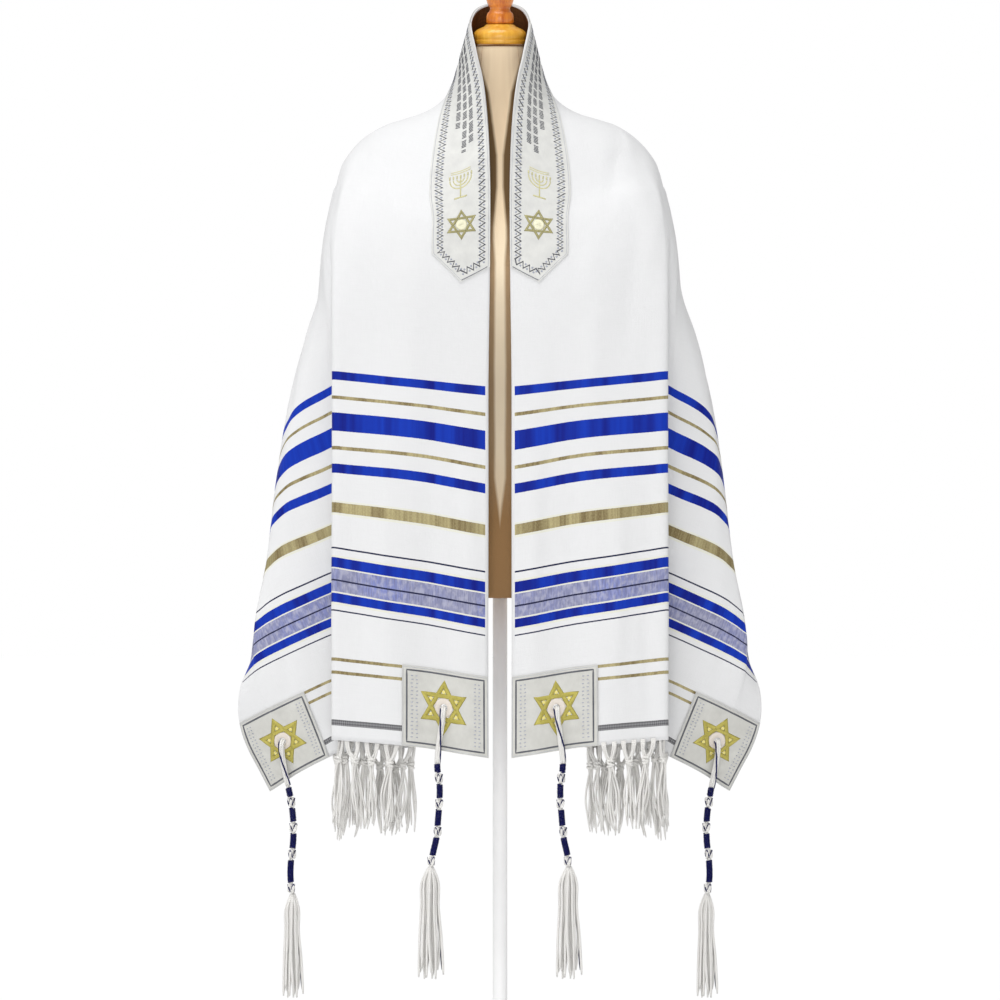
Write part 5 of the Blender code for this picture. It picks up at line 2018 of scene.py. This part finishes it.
@dataclass
class HemFringe:
    """The fringe between the two patches of a hem: yarns knotted together in bunches."""

    cloth: DrapedCloth
    side: Side
    yarn: Material
    bunches: int = 13
    yarns: int = 8
    length: float = 0.088
    uneven: float = 0.007
    knot_drop: float = 0.021
    yarn_radius: float = 0.00122

    def hem(self) -> list[Vector]:
        """Even places along the hem from one patch to the other, for every root.

        Returns:
            The places.
        """
        overs = np.linspace(PATCH_WIDTH, SHAWL_WIDTH - PATCH_WIDTH, 260)
        mirrored = self.side.mirrored
        line = np.array([self.cloth.place(0.0, float(over), mirrored=mirrored)[0] for over in overs])
        reach = np.concatenate([[0.0], np.cumsum(np.linalg.norm(np.diff(line, axis=0), axis=1))])
        wanted = np.linspace(0, reach[-1], self.bunches * self.yarns + 1)
        return [Vector([np.interp(place, reach, line[:, axis]) for axis in range(3)]) for place in wanted]

    def build(self) -> Piece:
        """Makes the fringe.

        Returns:
            The piece.
        """
        stock = Stock()
        hem = self.hem()
        for bunch in range(self.bunches):
            self.add_bunch(stock, hem[bunch * self.yarns:(bunch + 1) * self.yarns + 1], bunch)
        piece = stock.piece(f"hem_fringe_{self.side.value}", self.yarn)
        return declare(piece, f"fringe_{self.side.value}")

    def add_bunch(self, stock: Stock, roots: Sequence[Vector], bunch: int) -> None:
        """Adds one bunch: two legs of yarns from the hem, knotted together, with loose uneven ends.

        Args:
            stock: The piece that it goes into.
            roots: The places on the hem that its yarns start from.
            bunch: The bunch's number.
        """
        run = roots[-1] - roots[0]
        side = Vector((run.x, run.y, 0.0)).normalized()
        front = Vector((side.y, -side.x, 0.0))
        sway = math.sin(2.3 * bunch + 0.7)
        drop = self.knot_drop + 0.0035 * math.sin(3.1 * bunch)
        middle = (roots[0] + roots[-1]) / 2
        knot = middle - UP * drop + side * (0.0030 * sway) + front * 0.0010
        for k in range(self.yarns):
            number = bunch * self.yarns + k
            leg = 1 if k >= self.yarns / 2 else -1
            part = (k % (self.yarns // 2)) / (self.yarns // 2) - 0.35
            root = middle + run * (0.27 * leg + 0.20 * part)
            around = GOLDEN_TURN * k + bunch
            at_knot = knot + side * (0.0021 * math.cos(around)) + front * (0.0016 * math.sin(around))
            bow = side * (leg * 0.0014) + front * 0.0008 - UP * (0.22 * drop)
            places = [root + UP * 0.0030 + front * 0.0014, root + front * 0.0018]
            places += [root.lerp(at_knot, 0.5) + bow * 0.5, at_knot]
            length = self.length + self.uneven * math.sin(1.9 * number) - drop
            clump = (k * 5 % self.yarns) / (self.yarns - 1) - 0.5
            for step in (0.10, 0.30, 0.52, 0.76, 1.0):
                aside = clump * 0.0120 * min(1.0, step * 2.2) + sway * 0.0065 * step * step
                aside += 0.0021 * step * math.sin(5.5 * step + 1.9 * number)
                ahead = 0.0018 * math.sin(4.0 * step + 2.7 * number)
                places.append(at_knot + side * aside + front * ahead - UP * (length * step))
            path = smooth_route(places, 0.0056)
            radii = [self.yarn_radius * share for share in (*[1.0] * (len(path) - 2), 0.9, 0.45)]
            stock.strand(path, radii, sides=5)
        for ring in range(3):
            centre = knot + UP * (0.0021 * (1 - ring))
            loop = binding(centre, side * 0.0034, front * 0.0029, 0.0012 * (-1) ** (ring + bunch), ring)
            stock.strand(loop, self.yarn_radius * 1.1, sides=6, loop=True)


@dataclass
class CornerCord:
    """A knotted corner fringe: the doubled cord from the eyelet, its windings and knots, and its tassel.

    knot_strands gives the size, radius and finish of each strand of a knot, and spray how far down the
    tassel its yarns pass and how far out they are there, both as shares.
    """

    cloth: DrapedCloth
    cord: Cord
    side: Side
    white: Material
    blue: Material
    cord_radius: float = 0.0030
    cord_lift: float = 0.0018
    knot_half: float = 0.0075
    winding_radius: float = 0.0038
    thread_radius: float = 0.0007
    yarn_radius: float = 0.00138
    yarn_offset: float = 0.0019
    blue_radius: float = 0.0009
    strands: int = 18
    knot_strands: tuple[tuple[float, float, int], ...] = (
        (0.00145, 0.0012, 0), (0.0014, 0.0011, 0), (0.00165, 0.0007, 1),
    )
    spray: tuple[Measure, ...] = ((0.05, 0.45), (0.12, 0.72), (0.35, 0.80), (0.65, 0.92), (1.0, 1.0))

    @property
    def name(self) -> str:
        """The name that its pieces share."""
        return f"tzitzit_{self.cord.name}_{self.side.value}"

    def route(self) -> list[Vector]:
        """The line that the cord follows, from the eyelet to the tassel.

        Returns:
            Its points.
        """
        mirrored = self.side.mirrored
        lift = CLOTH_WALL / 2 + SEAM_GAP + PATCH_WALL + self.cord_lift + self.cord_radius
        start, *rest = self.cord.on_patch
        places = [self.cloth.place(*start, 0.0006, mirrored)[0]]
        places.append(self.cloth.place(*start, lift * 0.85, mirrored)[0] - UP * 0.0025)
        places += [self.cloth.place(*place, lift, mirrored)[0] for place in rest]
        sign, hang_y = -1 if mirrored else 1, places[-1].y
        places += [Vector((x * sign, hang_y, z)) for x, z in self.cord.hanging]
        return smooth_route(places, 0.0025)

    def build(self) -> list[Piece]:
        """Makes the three pieces of the fringe.

        Returns:
            The cord, the wound stretch and the tassel.
        """
        route = self.route()
        top = self.cord.windings_top
        upper = [point for point in route if point.z > top]
        stock = Stock()
        for k in range(5):
            path = beside(upper, self.yarn_offset, 2 * math.pi * k / 5 + 0.5, 5.0)
            stock.strand(path, self.yarn_radius, sides=6)
        across_them = beside(upper, self.cord_radius, math.pi * 1.05, -9.0)
        stock.strand(across_them, self.blue_radius, sides=6, finish=1)
        cord = self.finished(stock, "yarns", "cord")
        return [cord, self.build_wound(route), self.build_tassel(route)]

    def finished(self, stock: Stock, kind: str, node: str) -> Piece:
        """Args:
            stock: Its points and faces.
            kind: The end of its name.
            node: The end of the name of the node that it stands for.

        Returns:
            The piece.
        """
        piece = stock.piece(f"{self.name}_{kind}", self.white, self.blue)
        return declare(piece, f"{self.name}_{node}")

    def build_wound(self, route: Sequence[Vector]) -> Piece:
        """Makes the windings and knots round their core.

        Args:
            route: The line that the cord follows.

        Returns:
            The piece.
        """
        stock = Stock()
        above = self.cord.windings_top - 0.0005
        end = self.cord.knots[-1] - self.knot_half
        core = stretch_of(route, above + 0.003, end, 0.003)
        for k in range(4):
            stock.strand(beside(core, 0.0012, math.pi * k / 2, 30.0), 0.0011, sides=6)
        for number, knot in enumerate(self.cord.knots):
            stretch = stretch_of(route, above, knot + self.knot_half - 0.001, 0.00015)
            offset, twist = self.winding_radius - self.thread_radius, 1 / (2.05 * self.thread_radius)
            helix = beside(stretch, offset, 1.3 * number, twist)
            stock.strand(helix, self.thread_radius, sides=5, finish=1)
            self.add_knot(stock, route, knot, number)
            above = knot - self.knot_half + 0.001
        return self.finished(stock, "wound", "windings")

    def add_knot(self, stock: Stock, route: Sequence[Vector], height: float, number: int) -> None:
        """Adds a double knot: two white strands and a blue one through each other round the core.

        Args:
            stock: The piece that it goes into.
            route: The line that the cord follows.
            height: The height of the knot's middle.
            number: The knot's number.
        """
        middle = stretch_of(route, height, height - 0.001, 0.001)[0]
        for strand, (size, radius, finish) in enumerate(self.knot_strands):
            lean = 0.9 * number + 2.1 * strand
            loop = []
            for k in range(36):
                t = 2 * math.pi * k / 36
                x, y = math.sin(t) + 1.6 * math.sin(2 * t), math.cos(t) - 1.6 * math.cos(2 * t)
                turned = Matrix.Rotation(lean, 3, "Z") @ (Vector((x, y, 0.0)) * size)
                loop.append(middle + turned - UP * (0.0042 * math.sin(3 * t + strand)))
            stock.strand(loop, radius, sides=6, loop=True, finish=finish)

    def build_tassel(self, route: Sequence[Vector]) -> Piece:
        """Makes the tassel: a bound head and a spray of yarns, one of them blue.

        Args:
            route: The line that the cord follows.

        Returns:
            The piece.
        """
        stock = Stock()
        foot = self.cord.knots[-1] - self.knot_half
        top = stretch_of(route, foot, foot - 0.001, 0.001)[0]
        length = top.z - self.cord.tassel_end
        for k in range(self.strands):
            turn = GOLDEN_TURN * k
            reach = math.sqrt((k + 0.5) / self.strands)
            way = Vector((math.cos(turn) * reach, math.sin(turn) * reach * 0.6, 0.0))
            short = 0.045 * length * (1 + math.sin(1.7 * k))
            sway = Vector((0.0034 * math.sin(1.3 * k), 0.0016 * math.sin(2.1 * k), 0.0))
            places = [top + way * 0.0016 + UP * 0.0012]
            for step, spread in self.spray:
                wave = sway * math.sin(5.0 * step + k) * step
                out = way * (self.cord.tassel_half * spread)
                places.append(top + out - UP * ((length - short) * step) + wave)
            path = smooth_route(places, 0.0070)
            radius = [self.yarn_radius] * (len(path) - 1) + [0.0008]
            stock.strand(path, radius, sides=6, finish=int(k == self.strands - 2))
        for ring in range(4):
            centre, size = top - UP * (0.0010 + 0.0013 * ring), 0.0024 + 0.0004 * ring
            loop = binding(centre, Vector((size, 0.0, 0.0)), Vector((0.0, size * 0.85, 0.0)), 0.0003)
            stock.strand(loop, 0.0008, sides=5, loop=True)
        return self.finished(stock, "yarn_tassel", "tassel")


class Section(NamedTuple):
    """A level section of the dress form: its height, half its width, and its reach to the front and back."""

    height: float
    half_width: float
    front: float
    back: float


FORM_SECTIONS = tuple(Section(*row) for row in (
    (0.642, 0.15, 0.096, 0.098), (0.7, 0.155, 0.1, 0.106), (0.78, 0.142, 0.092, 0.1),
    (0.87, 0.124, 0.088, 0.088), (0.95, 0.14, 0.103, 0.095), (1.015, 0.157, 0.113, 0.101),
    (1.065, 0.17, 0.106, 0.1), (1.102, 0.175, 0.091, 0.093), (1.128, 0.166, 0.076, 0.083),
    (1.147, 0.147, 0.063, 0.074), (1.16, 0.122, 0.054, 0.066), (1.17, 0.094, 0.047, 0.058),
    (1.181, 0.066, 0.041, 0.048), (1.197, 0.046, 0.036, 0.04), (1.22, 0.036, 0.032, 0.034),
    (1.253, 0.031, 0.03, 0.03),
))
FORM_SQUARENESS = 2.35


@dataclass
class DressForm:
    """The limbless dress form: a padded torso in a stretch cover, with a turned cap and finial.

    foot_turn and neck_turn give the rings that are drawn in at its foot and neck, each by its share of the
    size and how far it lies above the end.
    """

    sides: int = 112
    cap_radius: float = 0.030
    cap_foot: float = 1.2533
    cap_height: float = 0.0225
    finial_height: float = 0.052
    girth: float = 2 * math.pi * 0.12
    foot_turn: tuple[Measure, ...] = ((0.06, 0.004), (0.5, 0.0015), (0.93, 0.0), (0.985, 0.0006))
    neck_turn: tuple[Measure, ...] = ((0.985, 0.0008), (0.90, 0.0012), (0.1, 0.0012))

    def ring(self, height: float) -> list[Vector]:
        """The points round the torso at a height.

        Args:
            height: The height.

        Returns:
            The points.
        """
        half_width, front, back = read_table(FORM_SECTIONS, height)
        points = []
        for k in range(self.sides):
            turn = 2 * math.pi * k / self.sides
            cosine, sine = math.cos(turn), math.sin(turn)
            power = 2 / FORM_SQUARENESS
            x = math.copysign(abs(cosine) ** power, cosine) * half_width
            y = math.copysign(abs(sine) ** power, sine) * (back if sine > 0 else front)
            points.append(Vector((x, y, height)))
        return points

    def build_torso(self) -> Piece:
        """Makes the padded torso with its turned-under foot and its neck.

        Returns:
            The piece.
        """
        stock = Stock()
        low, high = FORM_SECTIONS[0].height, FORM_SECTIONS[-1].height
        levels = [section.height for section in FORM_SECTIONS[1:-1]]
        heights = finer([low + 0.003, *levels, high - 0.0012], 0.008)
        rings = [self.ring(height) for height in heights]

        def drawn_in(ring: Sequence[Vector], share: float, height: float) -> list[Vector]:
            """A ring drawn in to a share of its size, at another height."""
            return [Vector((point.x * share, point.y * share, height)) for point in ring]

        foot = [drawn_in(rings[0], share, low + rise) for share, rise in self.foot_turn]
        neck = [drawn_in(rings[-1], share, high - 0.0012 + rise) for share, rise in self.neck_turn]
        rows = [row + row[:1] for row in (*foot, *rings, *neck)]
        reach, measures = 0.0, []
        for i, row in enumerate(rows):
            reach += (row[0] - rows[i - 1][0]).length if i else 0.0
            measures.append([(self.girth * k / self.sides, reach) for k in range(self.sides, -1, -1)])
        stock.net([row[::-1] for row in rows], measures)
        torso = stock.piece("torso_cover", FormCover().make())
        only(torso)
        edit_all()
        bpy.ops.mesh.remove_doubles(threshold=0.00001)
        bpy.ops.mesh.select_all(action="DESELECT")
        bpy.ops.mesh.select_non_manifold()
        bpy.ops.mesh.edge_face_add()
        bpy.ops.mesh.select_all(action="SELECT")
        bpy.ops.mesh.normals_make_consistent(inside=False)
        bpy.ops.object.mode_set(mode="OBJECT")
        bpy.ops.object.shade_smooth_by_angle(angle=math.radians(45))
        return declare(torso, "form_torso")

    def build_seams(self, thread: Material, piping: Material) -> Piece:
        """Stitches the cover's seams down the back and at the shaping, and the piping round the neck.

        Args:
            thread: The seams' finish.
            piping: The piping's finish.

        Returns:
            The piece.
        """
        stock = Stock()
        heights = finer([FORM_SECTIONS[0].height + 0.004, FORM_SECTIONS[-1].height - 0.002], 0.012)
        for turn in (0.25, 0.165, 0.335, 0.655, 0.845):
            k = round(turn * self.sides)
            path = [self.ring(height)[k] for height in heights]
            stock.strand(path, 0.0004, sides=5)
        collar = self.ring(FORM_SECTIONS[-1].height - 0.0012)
        stock.strand(collar, 0.0009, sides=6, loop=True, finish=1)
        return declare(stock.piece("torso_seams", thread, piping))

    def build_cap(self) -> Piece:
        """Turns the amber cap on the neck.

        Returns:
            The piece.
        """
        r = self.cap_radius
        profile = (
            (0.0, r - 0.0018), (0.0006, r - 0.0006), (0.0018, r), (0.0045, r), (0.0054, r - 0.0009),
            (0.0064, r - 0.0003), (0.0105, r - 0.0002), (0.0135, r - 0.0012), (0.0162, r - 0.0040),
            (0.0184, r - 0.0082), (0.0200, r - 0.0120), (0.0212, r - 0.0134), (self.cap_height, r - 0.0150),
        )
        wood = TurnedWood("amber_wood", (0.82, 0.445, 0.050), (0.66, 0.285, 0.020))
        return turn_on_lathe("turned_cap", self.cap_foot, profile, 96, wood.make(), "form_cap")

    def build_finial(self) -> Piece:
        """Turns the red-brown finial over the cap.

        Returns:
            The piece.
        """
        foot = self.cap_foot + self.cap_height + 0.0003
        profile = (
            (0.0, 0.0124), (0.0006, 0.0142), (0.0020, 0.0153), (0.0060, 0.0153), (0.0090, 0.0150),
            (0.0112, 0.0144), (0.0128, 0.0134), (0.0138, 0.0122), (0.0152, 0.0114), (0.0172, 0.0112),
            (0.0188, 0.0118), (0.0205, 0.0130), (0.0235, 0.0143), (0.0275, 0.0153), (0.0320, 0.0156),
            (0.0365, 0.0150), (0.0410, 0.0136), (0.0450, 0.0114), (0.0482, 0.0084), (0.0504, 0.0050),
            (self.finial_height, 0.0010),
        )
        wood = TurnedWood("cherry_wood", (0.80, 0.275, 0.030), (0.46, 0.100, 0.008))
        return turn_on_lathe("turned_finial", foot, profile, 72, wood.make(), "form_finial")


def turn_on_lathe(
    name: str,
    foot: float,
    profile: Sequence[tuple[float, float]],
    sides: int,
    material: Material,
    node: str,
) -> Piece:
    """Models a turned piece by drawing a circle up through its profile.

    Args:
        name: The piece's name.
        foot: The height of its foot.
        profile: The height above the foot and the radius of each ring.
        sides: The faces round it.
        material: Its finish.
        node: The CAD node that it stands for.

    Returns:
        The finished piece.
    """
    bpy.ops.object.select_all(action="DESELECT")
    height, radius = profile[0]
    place = (0, 0, foot + height)
    bpy.ops.mesh.primitive_circle_add(vertices=sides, radius=radius, fill_type="NGON", location=place)
    piece = bpy.context.object
    piece.name = name
    edit_all()
    for next_height, next_radius in profile[1:]:
        bpy.ops.mesh.extrude_region_move(TRANSFORM_OT_translate={"value": (0, 0, next_height - height)})
        share = next_radius / radius
        bpy.ops.transform.resize(value=(share, share, 1.0), center_override=(0, 0, foot + next_height))
        height, radius = next_height, next_radius
    bpy.ops.mesh.select_all(action="SELECT")
    bpy.ops.mesh.normals_make_consistent(inside=False)
    bpy.ops.object.mode_set(mode="OBJECT")
    bpy.ops.object.transform_apply(location=True, rotation=True, scale=True)
    bpy.ops.object.shade_smooth_by_angle(angle=math.radians(40))
    piece.data.materials.append(material)
    return declare(piece, node)


@dataclass
class Stand:
    """The plain white pole and round base under the form."""

    pole_radius: float = 0.008
    base_radius: float = 0.180
    base_thickness: float = 0.012
    edge: float = 0.003

    def build(self) -> list[Piece]:
        """Makes the pole and the base.

        Returns:
            The two pieces.
        """
        paint = StandPaint().make()
        r, t, e = self.base_radius, self.base_thickness, self.edge
        turns = [math.radians(15 * k) for k in range(7)]
        rim = [(t - e + e * math.sin(turn), r - e + e * math.cos(turn)) for turn in turns]
        plate = [(0.0, r - 0.0008), (0.0008, r), *rim, (t - 0.0002, 0.024), (t, 0.020)]
        base = turn_on_lathe("base_plate", 0.0, plate, 128, paint, "stand_base")
        foot, top = t + 0.0003, FORM_SECTIONS[0].height - 0.0003
        p = self.pole_radius
        tube = [(0.0, p - 0.0006), (0.0006, p), (top - foot - 0.0006, p), (top - foot, p - 0.0006)]
        pole = turn_on_lathe("pole_tube", foot, tube, 48, paint, "stand_pole")
        return [base, pole]


@dataclass(frozen=True)
class FloorPaint:
    """Matt white paint on the studio floor, very slightly uneven."""

    colours: tuple[Colour, Colour] = ((0.93, 0.93, 0.93), (0.95, 0.95, 0.95))

    def make(self) -> Material:
        """Makes the finish in the floor's own space.

        Returns:
            The material.
        """
        finish = Finish("floor_paint", {"Roughness": 0.95})
        patches = finish.noise(finish.in_space(), (3.0, 3.0, 3.0), 3.0)
        finish.set({"Base Color": finish.mix(patches, *self.colours)})
        return finish.material


@dataclass
class Studio:
    """The pale floor, the soft lights and the camera, none of which is part of the garment."""

    aim_height: float = 0.75
    front: float = -0.120
    distance: float = 24.0
    frame_height: float = 1.10
    sensor: float = 36.0
    floor_radius: float = 80.0
    floor_height: float = -0.0005
    sky: float = 0.34
    overhead: float = 2.55
    front_power: float = 44.0
    side_power: float = 11.0
    light_aim: float = 0.8

    def build(self) -> None:
        """Sets up the whole studio."""
        bpy.ops.object.select_all(action="DESELECT")
        bpy.ops.mesh.primitive_circle_add(
            vertices=96, radius=self.floor_radius, fill_type="NGON", location=(0, 0, self.floor_height),
        )
        floor = bpy.context.object
        floor.name = "floor"
        floor.data.materials.append(FloorPaint().make())
        world = bpy.data.worlds.new("studio")
        bpy.context.scene.world = world
        world.use_nodes = True
        sky = Shade(world.node_tree)
        seen = sky.add("LightPath", output="Is Camera Ray")
        background = world.node_tree.nodes["Background"]
        sky.feed(background.inputs["Color"], (1.0, 1.0, 1.0))
        sky.feed(background.inputs["Strength"], seen * (1.0 - self.sky) + self.sky)
        self.add_light("front", (-0.3, -4.4, 1.5), 2.0, self.front_power)
        self.add_light("side", (-3.0, -2.6, 2.8), 1.6, self.side_power)
        data = bpy.data.lights.new("overhead", "SUN")
        data.energy, data.angle = self.overhead, math.radians(50)
        self.place_in_scene("overhead", data, (0.0, 0.0, 0.0), (math.radians(12), math.radians(-10), 0.0))
        self.add_camera()
        bpy.context.scene.view_settings.view_transform = "Standard"

    def add_light(self, name: str, place: Row, size: float, power: float) -> None:
        """Hangs a square soft light that faces the form.

        Args:
            name: Its name.
            place: Where it hangs.
            size: The length of its side.
            power: Its power in watts.
        """
        data = bpy.data.lights.new(name, "AREA")
        data.size, data.energy = size, power
        turn = (Vector((0, 0, self.light_aim)) - Vector(place)).to_track_quat("-Z", "Y").to_euler()
        self.place_in_scene(name, data, place, turn)

    def add_camera(self) -> None:
        """Sets the camera level in front, far enough for a flat view."""
        data = bpy.data.cameras.new("camera")
        data.sensor_width = self.sensor
        data.lens = self.sensor * self.distance / self.frame_height
        place, level = (0.0, self.front - self.distance, self.aim_height), (math.radians(90), 0.0, 0.0)
        bpy.context.scene.camera = self.place_in_scene("camera", data, place, level)

    def place_in_scene(self, name: str, data: bpy.types.ID, place: Row, turn: Sequence[float]) -> Piece:
        """Puts a light or camera in the scene.

        Args:
            name: Its name.
            data: What it is.
            place: Where it stands.
            turn: Which way it is turned.

        Returns:
            The object.
        """
        made = bpy.data.objects.new(name, data)
        made.location, made.rotation_euler = place, turn
        bpy.context.scene.collection.objects.link(made)
        return made


def main() -> None:
    logging.basicConfig(level=logging.INFO, format="%(name)s: %(message)s")
    form = DressForm()
    torso = form.build_torso()
    satin, patch_satin, yarn, blue, seam, brown_cotton = (finish.make() for finish in FABRICS)
    steel = EyeletSteel().make()
    threads = [thread.make() for thread in Thread]

    cloth = DrapedCloth(torso)
    sheet = PrayerShawl(cloth).build()
    band = Neckband(cloth, satin, threads)
    sewn = [*band.build(), band.build_shade_sheet(brown_cotton)]
    for side in Side:
        for corner in HemCorner:
            sewn += CornerPatch(cloth, corner, side, patch_satin, threads, steel).build()
        sewn.append(HemFringe(cloth, side, yarn).build())
        for cord in CORDS:
            sewn += CornerCord(cloth, cord, side, yarn, blue).build()
    rigid = [torso, form.build_seams(seam, brown_cotton), form.build_cap(), form.build_finial(), *Stand().build()]
    for piece in (sheet, *sewn, *rigid):
        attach(piece, "root")
        LOG.info("%s: %d faces", piece.name, len(piece.data.polygons))
    Studio().build()


if __name__ == "__main__":
    main()
